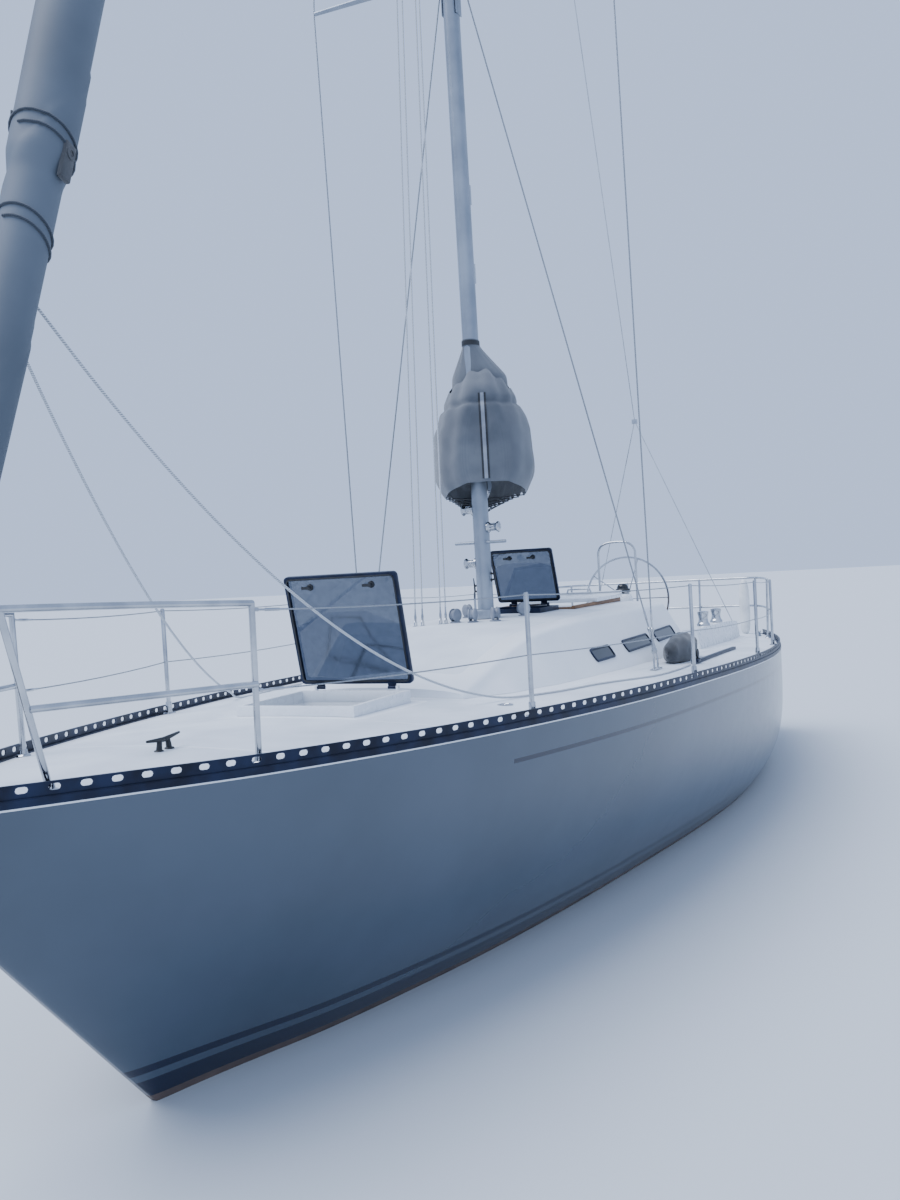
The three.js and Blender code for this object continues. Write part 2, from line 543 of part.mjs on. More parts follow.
// Standing rigging: wires with their turnbuckles, that end just short of the ears that hold them
const WIRE = 5;
const TURNBUCKLE = { from: 30, to: 330, r: 13 };
const PLATE = { s: 5200, y: 1140, high: 75, apart: 50 };
const MASTHEAD_EAR = { y: 80, z: MAST_TOP - 62 };
function wire(points) {
  const way = points[1].clone().sub(points[0]).normalize();
  return join(...rods(points, WIRE), bar(points[0].clone().addScaledVector(way, TURNBUCKLE.from),
    points[0].clone().addScaledVector(way, TURNBUCKLE.to), TURNBUCKLE.r));
}

place('masthead', cut(join(
  ovalBar(mastX, 0, MAST_TOP - 130, MAST_TOP + 30, MAST_LONG + 40, MAST_WIDE + 24),
  lug(mastX - 20, 1, 50, 96, MASTHEAD_EAR.z), lug(mastX - 20, -1, 50, 96, MASTHEAD_EAR.z),
  box(mastX + 40, mastX + 170, -14, 14, MAST_TOP - 90, MAST_TOP + 24),
  box(mastX - 190, mastX - 40, -12, 12, MAST_TOP - 80, MAST_TOP + 24)),
ovalBar(mastX, 0, MAST_TOP - 400, MAST_TOP + GAP, MAST_LONG + 2 * GAP, MAST_WIDE + 2 * GAP)), 'alloy');

for (const [side, sign] of [['port', 1], ['starboard', -1]]) {
  const foot = deckHeight(PLATE.s, PLATE.y);
  const y = sign * PLATE.y;
  const ear = (x) => box(x - 12, x + 12, y - 4, y + 4, foot, foot + PLATE.high);
  const [capX, lowX] = [fromStem(PLATE.s - PLATE.apart), fromStem(PLATE.s + PLATE.apart)];
  place(`chainplate_${side}`, onDeck(join(ear(capX), ear(lowX),
    box(lowX - 40, capX + 40, y - 22, y + 22, foot - 12, foot + 8))), 'steel');
  const wireFoot = foot + PLATE.high + 1.5;
  const tips = SPREADERS.map((one) => v3(mastX - one.sweep, sign * (one.half + 8), one.z + 40));
  place(`cap_shroud_${side}`, wire([v3(capX, y, wireFoot), ...tips,
    v3(mastX - 20, sign * MASTHEAD_EAR.y, MASTHEAD_EAR.z - 1.3)]), 'steel');
  place(`lower_shroud_${side}`, wire([v3(lowX, y, wireFoot),
    v3(LOWER_ROOT.x, sign * LOWER_ROOT.y, LOWER_ROOT.z - 1.5)]), 'steel');
}

// Forestay and furled genoa, with the furler's drum at the foot
const STAY = { foot: v3(fromStem(220), 0, 1455.6), head: v3(mastX + 150, 0, MAST_TOP - 94) };
const stayWay = STAY.head.clone().sub(STAY.foot).normalize();
place('forestay', bar(STAY.foot, STAY.head, 9, 8), 'steel');
const STAY_SIDES = 14;
const stayBore = 9 / Math.cos(Math.PI / STAY_SIDES) + GAP;
place('furler_drum', lathe([[stayBore, 90], [95, 90], [95, 106], [60, 106], [60, 170], [95, 170], [95, 186],
  [34, 186], [34, 330], [stayBore, 330], [stayBore, 90]], STAY.foot, STAY_SIDES, stayWay), 'navyAlloy');
// The rolled sail: distance up the stay, radius
const ROLLED = [[332, 40], [700, 78], [1700, 112], [3400, 118], [6000, 100], [9000, 76], [12000, 52], [13300, 34]];
place('furled_genoa', lathe([[stayBore, ROLLED[0][0]], ...ROLLED.map(([d, r]) => [r, d]),
  [stayBore, ROLLED[ROLLED.length - 1][0]], [stayBore, ROLLED[0][0]]], STAY.foot, STAY_SIDES, stayWay), 'sailcloth');

// Backstay, split at its foot to a plate on each quarter
const BACK = { head: v3(mastX - 165, 0, MAST_TOP - 83), split: v3(fromStem(9350), 0, 3500), s: 10080, y: 840 };
const backFeet = [1, -1].map((sign) => v3(fromStem(BACK.s), sign * BACK.y, deckHeight(BACK.s, BACK.y) + 24));
place('backstay', onDeck(join(bar(BACK.head, BACK.split, WIRE, 6), box(BACK.split.x - 22, BACK.split.x + 22,
  -26, 26, BACK.split.z - 30, BACK.split.z + 20),
  ...backFeet.flatMap((foot) => [bar(BACK.split, foot, WIRE, 6),
    box(foot.x - 40, foot.x + 40, foot.y - 18, foot.y + 18, foot.z - 36, foot.z + 6)]))), 'steel');

// Boom on its gooseneck, with the mainsail bundled along it
const PIVOT = v3(mastX - MAST_LONG / 2 - 52, 0, GOOSENECK_Z);
place('gooseneck', cut(join(
  box(mastX - MAST_LONG / 2 - 20, mastX - 20, -30, 30, GOOSENECK_Z - 70, GOOSENECK_Z + 70),
  box(PIVOT.x - 20, mastX - 60, -20, 20, GOOSENECK_Z - 52, GOOSENECK_Z - 40),
  box(PIVOT.x - 20, mastX - 60, -20, 20, GOOSENECK_Z + 40, GOOSENECK_Z + 52),
  bar(v3(PIVOT.x, 0, GOOSENECK_Z - 45), v3(PIVOT.x, 0, GOOSENECK_Z + 45), 8, 12)), mastHole), 'steel');
const swing = (geometry) => geometry.translate(-PIVOT.x, -PIVOT.y, 0)
  .rotateZ(THREE.MathUtils.degToRad(BOOM_SWING)).translate(PIVOT.x, PIVOT.y, 0);
const boomBar = new THREE.CylinderGeometry(0.5, 0.5, BOOM_LENGTH, 14).rotateZ(Math.PI / 2).scale(1, 92, 140);
boomBar.translate(PIVOT.x - 60 - BOOM_LENGTH / 2, 0, GOOSENECK_Z);
place('boom', swing(cut(join(boomBar, box(PIVOT.x - 90, PIVOT.x + 14, -15, 15, GOOSENECK_Z - 34, GOOSENECK_Z + 34)),
  bar(v3(PIVOT.x, 0, GOOSENECK_Z - 90), v3(PIVOT.x, 0, GOOSENECK_Z + 90), 8.6, 12))), 'alloy');

// distance aft of the pivot, half width, height above the boom top, depth of the lobes below it
const BUNDLE = [
  [-330, 200, 560, 20], [-150, 330, 760, 60], [150, 372, 800, 130], [600, 350, 640, 130],
  [1500, 300, 520, 110], [2600, 240, 400, 90], [3500, 170, 280, 65], [4000, 115, 160, 62],
];
const boomTop = GOOSENECK_Z + 70;
const bundleLoops = BUNDLE.map(([d, half, high, low]) => {
  const x = PIVOT.x - d;
  const port = [
    [17, boomTop + GAP], [74, boomTop - 60], [half * 0.8, boomTop - low], [half, boomTop + high * 0.12],
    [half * 0.94, boomTop + high * 0.4], [half * 0.6, boomTop + high * 0.75], [half * 0.22, boomTop + high],
  ];
  const starboard = port.map(([y, z]) => [-y, z]).reverse();
  return [...port, ...starboard].map(([y, z]) => v3(x, y, z));
});
place('mainsail_bundle', swing(cut(loft(bundleLoops),
  bar(v3(PIVOT.x, 0, GOOSENECK_Z - 600), v3(PIVOT.x, 0, GOOSENECK_Z + 1400), 218, 24))), 'sailcloth');

// Steering: pedestal, its guard and the wheel
const PEDESTAL = { s: 8520, wheelZ: 920, stubX: -140 };
const pedestalX = fromStem(PEDESTAL.s);
const floorZ = COCKPIT.sole + GAP;
place('steering_pedestal', join(
  lathe([[0, 0], [130, 0], [120, 25], [70, 60], [62, 760], [105, 800], [110, 940], [80, 985], [0, 1000]],
    v3(pedestalX, 0, floorZ), 14),
  bar(v3(pedestalX, 0, floorZ + PEDESTAL.wheelZ), v3(pedestalX + PEDESTAL.stubX, 0, floorZ + PEDESTAL.wheelZ),
    20, 12)), 'white');
const GUARD = { x: pedestalX + 150, y: 190, shoulder: 2100, top: 2190 };
const guardLegs = [1, -1].map((sign) => bar(v3(GUARD.x, sign * GUARD.y, floorZ),
  v3(GUARD.x, sign * GUARD.y, GUARD.shoulder), TUBE_R));
place('pedestal_guard', join(...guardLegs, tube([v3(GUARD.x, GUARD.y, GUARD.shoulder - 30),
  v3(GUARD.x, GUARD.y - 6, GUARD.shoulder + 30), v3(GUARD.x, GUARD.y - 60, GUARD.top),
  v3(GUARD.x, 60 - GUARD.y, GUARD.top), v3(GUARD.x, 6 - GUARD.y, GUARD.shoulder + 30),
  v3(GUARD.x, -GUARD.y, GUARD.shoulder - 30)], TUBE_R, 14)), 'steel');
const WHEEL = { x: pedestalX + PEDESTAL.stubX - GAP, z: floorZ + PEDESTAL.wheelZ, r: 430, hub: 46, spokes: 5 };
const rim = new THREE.TorusGeometry(WHEEL.r, 13, 6, 30).rotateY(Math.PI / 2).translate(-WHEEL.hub / 2, 0, 0);
const spokes = [...Array(WHEEL.spokes).keys()].map((k) => {
  const angle = (k * 2 * Math.PI) / WHEEL.spokes;
  return bar(v3(-WHEEL.hub / 2, 0, 0),
    v3(-WHEEL.hub / 2, Math.cos(angle) * WHEEL.r, Math.sin(angle) * WHEEL.r), 6, 6);
});
place('steering_wheel', join(rim, ...spokes, bar(v3(-WHEEL.hub, 0, 0), v3(0, 0, 0), 34, 12))
  .translate(WHEEL.x, 0, WHEEL.z), 'steel');

// Winches on the coamings, genoa tracks on the side decks
const WINCHES = [7750, 8350];
const winchProfile = [[0, 0], [62, 0], [62, 18], [44, 30], [40, 80], [52, 104], [52, 126], [20, 134], [0, 134]];
const TRACK = { s0: 5700, s1: 7350, y: 1290, half: 16, high: 22, steps: 4 };
for (const [side, sign] of [['port', 1], ['starboard', -1]]) {
  WINCHES.forEach((s, k) => {
    const seat = coamingTop(s - winchProfile[1][0]) + GAP;
    place(`winch_${side}_${k + 1}`, lathe(winchProfile, v3(fromStem(s), sign * 955, seat), 14), 'steel');
  });
  const loops = [...Array(TRACK.steps + 1).keys()].map((k) => {
    const s = TRACK.s0 + ((TRACK.s1 - TRACK.s0) * k) / TRACK.steps;
    const foot = deckHeight(s, TRACK.y);
    return [[1, 1], [-1, 1], [-1, -0.5], [1, -0.5]].map(([dy, dz]) => v3(
      fromStem(s), sign * TRACK.y + dy * TRACK.half, foot + dz * TRACK.high));
  });
  place(`genoa_track_${side}`, onDeck(loft(loops)), 'navyAlloy');
}

// What is stowed aft: a fender upright in the pushpit's port corner, a dark bag on the port coaming
const FENDER = { s: 10010, y: 950, r: 60, high: 600 };
place('stowed_fender', onDeck(lathe([[0, 0], [24, 0], [FENDER.r, 50], [FENDER.r, FENDER.high - 60],
  [24, FENDER.high], [0, FENDER.high]],
v3(fromStem(FENDER.s), FENDER.y, deckHeight(FENDER.s, FENDER.y) - 4), 12)), 'deck');
const BAG = { s: 6000, y: 1135, long: 480, half: 115, high: 125 };
place('deck_bag', onDeck(new THREE.SphereGeometry(1, 12, 8).rotateX(Math.PI / 2)
  .scale(BAG.long, BAG.half, BAG.high).translate(fromStem(BAG.s), BAG.y, deckHeight(BAG.s, BAG.y) + 90)),
'darkFabric');

export default yacht;
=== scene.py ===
"""A sailing yacht afloat with her sails stowed: her looks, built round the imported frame."""
import math

import bmesh
import bpy
import numpy as np
from bpy.props import FloatProperty, FloatVectorProperty, IntProperty, PointerProperty
from bpy.types import Operator, Panel, PropertyGroup
from mathutils import Matrix, Vector, noise


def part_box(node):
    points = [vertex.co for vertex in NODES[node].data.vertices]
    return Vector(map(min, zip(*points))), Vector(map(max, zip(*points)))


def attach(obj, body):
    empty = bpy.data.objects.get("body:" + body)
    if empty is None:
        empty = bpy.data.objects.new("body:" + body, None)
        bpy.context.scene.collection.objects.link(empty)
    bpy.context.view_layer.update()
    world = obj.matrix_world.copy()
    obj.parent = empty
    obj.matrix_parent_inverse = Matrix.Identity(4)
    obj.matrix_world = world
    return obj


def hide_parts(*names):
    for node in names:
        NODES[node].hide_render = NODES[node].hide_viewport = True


bl_info = {
    "name": "Sailing Yacht",
    "version": (1, 0, 0),
    "blender": (4, 5, 0),
    "location": "View3D > Sidebar > Yacht",
    "description": "Finishes the hull, deck, rig and gear of a sloop round its frame",
    "category": "Add Mesh",
}

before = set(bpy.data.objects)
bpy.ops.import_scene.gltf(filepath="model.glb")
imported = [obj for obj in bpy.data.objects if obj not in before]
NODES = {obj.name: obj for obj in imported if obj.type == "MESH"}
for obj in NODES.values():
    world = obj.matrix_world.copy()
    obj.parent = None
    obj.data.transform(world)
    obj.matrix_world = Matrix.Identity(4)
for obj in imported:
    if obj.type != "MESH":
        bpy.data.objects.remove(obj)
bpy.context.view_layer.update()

# Places the source of the frame gives, in metres: s is the distance aft of the stem head
BOW_X = 5.3
CAMBER = 0.045
MAST_X = 0.35
MAST_LONG, MAST_WIDE = 0.150, 0.106
MAST_TOP = 15.2
SIDES = ((1, "port"), (-1, "starboard"))


def from_stem(s):
    """X of a place s metres aft of the stem head."""
    return BOW_X - s


# Shapes, made as by hand

def only(*pieces):
    """Selects these pieces alone, the first of them active."""
    bpy.ops.object.select_all(action="DESELECT")
    for piece in pieces:
        piece.select_set(True)
    bpy.context.view_layer.objects.active = pieces[0]


def linked(name, data):
    """A new object of that data, in the scene."""
    piece = bpy.data.objects.new(name, data)
    bpy.context.scene.collection.objects.link(piece)
    return piece


def skinned(name, skin):
    """A bmesh as a new object, the bmesh freed."""
    mesh = bpy.data.meshes.new(name)
    skin.to_mesh(mesh)
    skin.free()
    return linked(name, mesh)


def changed(piece, kind, **settings):
    """The piece with a modifier applied to its mesh."""
    only(piece)
    step = piece.modifiers.new(kind, kind)
    for key, value in settings.items():
        setattr(step, key, value)
    bpy.ops.object.modifier_apply(modifier=step.name)
    return piece


def walled(piece, thickness, offset=-1):
    """A sheet given a thickness."""
    return changed(piece, "SOLIDIFY", thickness=thickness, offset=offset)


def settle(piece):
    """Puts a piece's place, turn and size into its mesh."""
    only(piece)
    bpy.ops.object.transform_apply(location=True, rotation=True, scale=True)
    return piece


def bevelled(piece, width, segments=2, angle=30):
    """Rounds the edges sharper than angle degrees."""
    return changed(piece, "BEVEL", width=width, segments=segments, limit_method="ANGLE",
                   angle_limit=math.radians(angle))


def block(low, high, edge=0.0, segments=2):
    """A box between two corners, its edges rounded."""
    low, high = Vector(low), Vector(high)
    bpy.ops.object.select_all(action="DESELECT")
    bpy.ops.mesh.primitive_cube_add(size=1, location=(low + high) / 2)
    piece = bpy.context.object
    piece.scale = [abs(a) for a in high - low]
    settle(piece)
    return bevelled(piece, edge, segments) if edge else piece


def rod(start, end, radius, end_radius=None, sides=16, edge=0.0):
    """A round bar or cone from start to end."""
    start, end = Vector(start), Vector(end)
    way = end - start
    bpy.ops.object.select_all(action="DESELECT")
    bpy.ops.mesh.primitive_cone_add(
        vertices=sides, radius1=radius, radius2=radius if end_radius is None else end_radius,
        depth=way.length, location=(start + end) / 2, rotation=way.to_track_quat("Z", "Y").to_euler())
    piece = settle(bpy.context.object)
    return bevelled(piece, edge) if edge else piece


def turned(profile, base=(0, 0, 0), way=(0, 0, 1), steps=24):
    """A turned piece: its profile of (radius, distance along the way) spun about the way from base."""
    mesh = bpy.data.meshes.new("turned")
    mesh.from_pydata([(r, 0, d) for r, d in profile], [(i, i + 1) for i in range(len(profile) - 1)], [])
    piece = linked("turned", mesh)
    only(piece)
    bpy.ops.object.mode_set(mode="EDIT")
    bpy.ops.mesh.select_all(action="SELECT")
    bpy.ops.mesh.spin(steps=steps, angle=math.tau, center=(0, 0, 0), axis=(0, 0, 1))
    bpy.ops.mesh.select_all(action="SELECT")
    bpy.ops.mesh.remove_doubles(threshold=0.00002)
    bpy.ops.mesh.normals_make_consistent(inside=False)
    bpy.ops.object.mode_set(mode="OBJECT")
    turn = Vector(way).to_track_quat("Z", "Y").to_matrix().to_4x4()
    piece.data.transform(Matrix.Translation(base) @ turn)
    return piece


def tube(points, radius, smooth=False, closed=False, sides=12, steps=8):
    """A round tube along points, through them in a curve where it is smooth."""
    curve = bpy.data.curves.new("tube", "CURVE")
    curve.dimensions = "3D"
    curve.bevel_depth = radius
    curve.bevel_resolution = (sides - 4) // 2
    curve.use_fill_caps = not closed
    curve.resolution_u = steps
    spline = curve.splines.new("BEZIER" if smooth else "POLY")
    if smooth:
        spline.bezier_points.add(len(points) - 1)
        for knot, place in zip(spline.bezier_points, points):
            knot.co = place
            knot.handle_left_type = knot.handle_right_type = "AUTO"
    else:
        spline.points.add(len(points) - 1)
        for knot, place in zip(spline.points, points):
            knot.co = (*place, 1)
    spline.use_cyclic_u = closed
    only(linked("tube", curve))
    bpy.ops.object.convert(target="MESH")
    return bpy.context.object


def joined(pieces):
    """Several pieces as one."""
    only(*pieces)
    bpy.ops.object.join()
    return pieces[0]


def mirrored(piece):
    """A copy on the other side of the centreline, turned the right way out."""
    twin = linked(piece.name, piece.data.copy())
    twin.data.transform(Matrix.Scale(-1, 4, (0, 1, 0)))
    twin.data.flip_normals()
    return twin


def both_sides(piece):
    """The piece and its mirror image across the centreline, as one."""
    return joined([piece, mirrored(piece)])


def moved(piece, matrix):
    """The piece moved by a matrix, its place kept in its mesh."""
    piece.data.transform(matrix)
    return piece


# Finish and slot of what many pieces are made of
STEEL = ("polished_stainless", "steel")
SPAR = ("clear_anodised", "spar")


def keep(piece, name, look, slot, replaces=None, body="hull", angle=35):
    """Names a finished piece, smooths all but edges sharper than angle, gives it its finish and sets it
    on its body."""
    only(piece)
    bpy.ops.object.shade_smooth_by_angle(angle=math.radians(angle))
    piece.name = name
    piece.data.name = name
    piece.data.materials.clear()
    piece.data.materials.append(finish(look))
    if replaces:
        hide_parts(replaces)
    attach(piece, body)


def rounded(piece, levels):
    """The piece with its faces subdivided smoothly."""
    return changed(piece, "SUBSURF", levels=levels, render_levels=levels)


def merged_copy(node):
    """A copy of a frame node's mesh, merged to one skin, of quads where they are flat."""
    piece = linked(node, NODES[node].data.copy())
    only(piece)
    if piece.data.has_custom_normals:
        bpy.ops.mesh.customdata_custom_splitnormals_clear()
    bpy.ops.object.mode_set(mode="EDIT")
    bpy.ops.mesh.select_all(action="SELECT")
    bpy.ops.mesh.remove_doubles(threshold=0.00005)
    bpy.ops.mesh.tris_convert_to_quads(face_threshold=math.radians(15), shape_threshold=math.radians(70))
    bpy.ops.mesh.select_all(action="DESELECT")
    bpy.ops.object.mode_set(mode="OBJECT")
    return piece


def refined(node, crease=55, levels=2, loose=None):
    """A copy of a frame node with its round surfaces made smooth and its hard edges kept, apart from
    edges whose middle loose says may round off."""
    piece = merged_copy(node)
    bpy.ops.object.mode_set(mode="EDIT")
    bpy.ops.mesh.select_mode(type="EDGE")
    bpy.ops.mesh.edges_select_sharp(sharpness=math.radians(crease))
    if loose:
        skin = bmesh.from_edit_mesh(piece.data)
        for edge in skin.edges:
            if edge.select and loose((edge.verts[0].co + edge.verts[1].co) / 2):
                edge.select = False
        skin.select_flush_mode()
        bmesh.update_edit_mesh(piece.data)
    bpy.ops.transform.edge_crease(value=1.0)
    bpy.ops.mesh.select_all(action="DESELECT")
    bpy.ops.object.mode_set(mode="OBJECT")
    return rounded(piece, levels)


def eased(points, step):
    """Places about step apart on the smooth curve through points."""
    points = [Vector(p) for p in points]
    full = [2 * points[0] - points[1], *points, 2 * points[-1] - points[-2]]
    places = []
    for a, b, c, d in zip(full, full[1:], full[2:], full[3:]):
        count = max(1, round((c - b).length / step))
        for k in range(count):
            t = k / count
            places.append(0.5 * (2 * b + (c - a) * t + (2 * a - 5 * b + 4 * c - d) * t ** 2
                                 + (3 * b - 3 * c + d - a) * t ** 3))
    places.append(points[-1])
    return places


def lofted(name, rings, uv, capped=True):
    """A skin over rings of places, its UV map from uv(place in the ring, ring)."""
    skin = bmesh.new()
    layer = skin.loops.layers.uv.new("UVMap")
    rings = [[skin.verts.new(place) for place in ring] for ring in rings]
    count = len(rings[0])
    for i, (ring, following) in enumerate(zip(rings, rings[1:])):
        for k in range(count):
            n = (k + 1) % count
            face = skin.faces.new((ring[k], ring[n], following[n], following[k]))
            for loop, place in zip(face.loops, ((k, i), (k + 1, i), (k + 1, i + 1), (k, i + 1))):
                loop[layer].uv = uv(*place)
    if capped:
        skin.faces.new(rings[0][::-1])
        skin.faces.new(rings[-1])
        bmesh.ops.recalc_face_normals(skin, faces=skin.faces)
    return skinned(name, skin)


def rope(places, radius, sides=10):
    """A round rope or wire through places, its UV map in metres: round it and along it."""
    places = [Vector(p) for p in places]
    across = Vector((0.12, 0.31, 0.94)).cross(places[1] - places[0]).normalized()
    rings, along = [], [0.0]
    for i, place in enumerate(places):
        way = (places[min(i + 1, len(places) - 1)] - places[max(i - 1, 0)]).normalized()
        across = (across - way * across.dot(way)).normalized()
        up = way.cross(across)
        rings.append([place + radius * (across * math.cos(math.tau * k / sides)
                                        + up * math.sin(math.tau * k / sides)) for k in range(sides)])
        if i:
            along.append(along[-1] + (place - places[i - 1]).length)
    return lofted("rope", rings, lambda k, i: (math.tau * radius * k / sides, along[i]))


def set_on(piece, place, along=(1, 0, 0), up=(0, 0, 1)):
    """A piece made at the origin, set on a place with its X along a way and its Z up another."""
    up = Vector(up).normalized()
    along = (Vector(along) - up * Vector(along).dot(up)).normalized()
    turn = Matrix((along, up.cross(along), up)).transposed().to_4x4()
    return moved(piece, Matrix.Translation(place) @ turn)


def scaled(profile, size):
    """A profile made that many times larger."""
    return [(r * size, d * size) for r, d in profile]


# Profiles of gear as shares of its size: radius, and distance along the axis
CLEAT_PAD = ((0, 0), (0.085, 0), (0.085, 0.022), (0.07, 0.035), (0, 0.035))
CHEEK = ((0, 0.15), (0.48, 0.15), (0.48, 0.20), (0.42, 0.26), (0.12, 0.28), (0, 0.28))
SHEAVE = ((0, -0.14), (0.40, -0.14), (0.33, 0), (0.40, 0.14), (0, 0.14))
BLOCK_FOOT = ((0, 0), (0.42, 0), (0.42, 0.08), (0.2, 0.14), (0, 0.14))
EYE = ((-0.30, 0), (-0.26, 0.45), (0, 0.72), (0.26, 0.45), (0.30, 0))


def horn_cleat(long, place, along=(1, 0, 0), up=(0, 0, 1)):
    """A horn cleat: a bar with tapered, lifted horns on two feet with round pads."""
    bar = [rod((0, 0, 0.19 * long), (sign * long / 2, 0, 0.235 * long), 0.045 * long, 0.022 * long, 14,
               0.008 * long) for sign in (1, -1)]
    for sign in (1, -1):
        foot = (sign * 0.16 * long, 0, 0)
        bar.append(rod(foot, (sign * 0.12 * long, 0, 0.20 * long), 0.055 * long, 0.042 * long, 14))
        bar.append(turned(scaled(CLEAT_PAD, long), foot, steps=20))
    return set_on(joined(bar), place, along, up)


def pulley(size, place, along=(1, 0, 0), up=(0, 0, 1)):
    """An upright block: two cheeks with a grooved sheave between them."""
    axle = (0, 0, 0.58 * size)
    pieces = []
    for sign in (1, -1):
        y = sign * 0.20 * size
        pieces.append(turned(scaled(CHEEK, size), axle, (0, sign, 0), 28))
        pieces.append(block((-0.20 * size, y - 0.05 * size, 0.05 * size),
                            (0.20 * size, y + 0.05 * size, 0.5 * size), 0.03 * size))
    pieces.append(turned(scaled(SHEAVE, size), axle, (0, 1, 0)))
    pieces.append(turned(scaled(BLOCK_FOOT, size)))
    return set_on(joined(pieces), place, along, up)


def pad_eye(size, place, along=(1, 0, 0), up=(0, 0, 1)):
    """A bent eye on a small oblong plate."""
    eye = tube([(x, 0, z) for x, z in scaled(EYE, size)], 0.09 * size, smooth=True, sides=10, steps=5)
    foot = block((-0.5 * size, -0.2 * size, 0), (0.5 * size, 0.2 * size, 0.08 * size), 0.03 * size)
    return set_on(joined([eye, foot]), place, along, up)


# What lies under a place on the boat

def deck_edge_rows():
    """The deck's top edge from the frame: distance from the stem, half breadth and height."""
    columns = {}
    for vertex in NODES["deck"].data.vertices:
        columns.setdefault(round(vertex.co.x, 3), []).append(vertex.co)
    rows = []
    for column in columns.values():
        half = max(place.y for place in column)
        heights = [place.z for place in column if place.y > half - 0.0005]
        if 0.028 < max(heights) - min(heights) < 0.031:
            rows.append((BOW_X - column[0].x, half, max(heights)))
    return np.array(sorted(rows))


EDGE = deck_edge_rows()


def edge_at(s):
    """Half breadth and height of the deck's top edge, s metres aft of the stem head."""
    return float(np.interp(s, EDGE[:, 0], EDGE[:, 1])), float(np.interp(s, EDGE[:, 0], EDGE[:, 2]))


def deck_z(s, y):
    """Height of the deck's crown."""
    half, z = edge_at(s)
    return z + CAMBER * half * (1 - min(1, abs(y) / half) ** 2)


def under(node, x, y, start=4.0):
    """The height of the top of a frame node, or of a finished piece, at a place."""
    piece = NODES[node] if node in NODES else bpy.data.objects[node]
    hit, place, _, _ = piece.ray_cast(Vector((x, y, start)), Vector((0, 0, -1)))
    if not hit:
        raise RuntimeError(f"nothing of {node} at {x:.2f}, {y:.2f}")
    return place.z


def seat(node, s, y, start=4.0):
    """A place on top of a piece, sunk 2 mm into it."""
    x = from_stem(s)
    return x, y, under(node, x, y, start) - 0.002


# Finishes

def linear(hex_colour):
    """An sRGB hex colour as linear red, green, blue and alpha."""
    parts = [int(hex_colour[i:i + 2], 16) / 255 for i in (1, 3, 5)]
    return (*[p / 12.92 if p <= 0.04045 else ((p + 0.055) / 1.055) ** 2.4 for p in parts], 1.0)


def add(tree, kind, settings=None, links=None):
    """Adds a shader node with its settings, and links its inputs to (node, output) pairs."""
    made = tree.nodes.new("ShaderNode" + kind)
    for key, value in (settings or {}).items():
        if isinstance(key, int) or key in made.inputs.keys():
            made.inputs[key].default_value = value
        else:
            setattr(made, key, value)
    for key, (source, output) in (links or {}).items():
        tree.links.new(source.outputs[output], made.inputs[key])
    return made


def bare_finish(settings):
    """A material, its tree and its shader, with the uniform values set on the shader."""
    material = bpy.data.materials.new("finish")
    material.use_nodes = True
    tree = material.node_tree
    shader = tree.nodes["Principled BSDF"]
    for key, value in settings.items():
        shader.inputs[key].default_value = value
    return material, tree, shader


def ramp_of(tree, source, tones, low, high):
    """Colour that runs between two tones as a value goes from low to high."""
    ramp = add(tree, "ValToRGB", {}, {"Fac": source})
    for stop, place, tone in zip(ramp.color_ramp.elements, (low, high), tones):
        stop.position, stop.color = place, linear(tone)
    return ramp


def surfaced(tones, gloss, relief, settings=None, patches=4.0, stretch=(1, 1, 1)):
    """A finish whose colour drifts between two tones in patches, with gloss low to high, and relief of
    (spots to the metre, height in mm), stretched along the axes."""
    material, tree, shader = bare_finish(settings or {})
    place = add(tree, "TexCoord")
    slow = add(tree, "TexNoise", {"Scale": patches, "Detail": 4.0}, {"Vector": (place, "Object")})
    ramp = ramp_of(tree, (slow, "Fac"), tones, 0.35, 0.65)
    tree.links.new(ramp.outputs["Color"], shader.inputs["Base Color"])
    drawn = add(tree, "Mapping", {"Scale": stretch}, {"Vector": (place, "Object")})
    fine = add(tree, "TexNoise", {"Scale": relief[0], "Detail": 3.0}, {"Vector": (drawn, "Vector")})
    rough = add(tree, "MapRange", {"To Min": gloss[0], "To Max": gloss[1]}, {"Value": (fine, "Fac")})
    tree.links.new(rough.outputs["Result"], shader.inputs["Roughness"])
    bump = add(tree, "Bump", {"Distance": relief[1] / 1000}, {"Height": (fine, "Fac")})
    tree.links.new(bump.outputs["Normal"], shader.inputs["Normal"])
    return material, tree, shader


def band(tree, source, low, high):
    """1 where a value lies between low and high."""
    return add(tree, "Math", {"operation": "COMPARE", 1: (low + high) / 2, 2: (high - low) / 2}, {0: source})


def painted(tree, under_colour, mask, colour):
    """A colour laid over another where a mask is 1."""
    mix = add(tree, "Mix", {"data_type": "RGBA", 7: colour}, {0: mask, 6: under_colour})
    return mix, 2


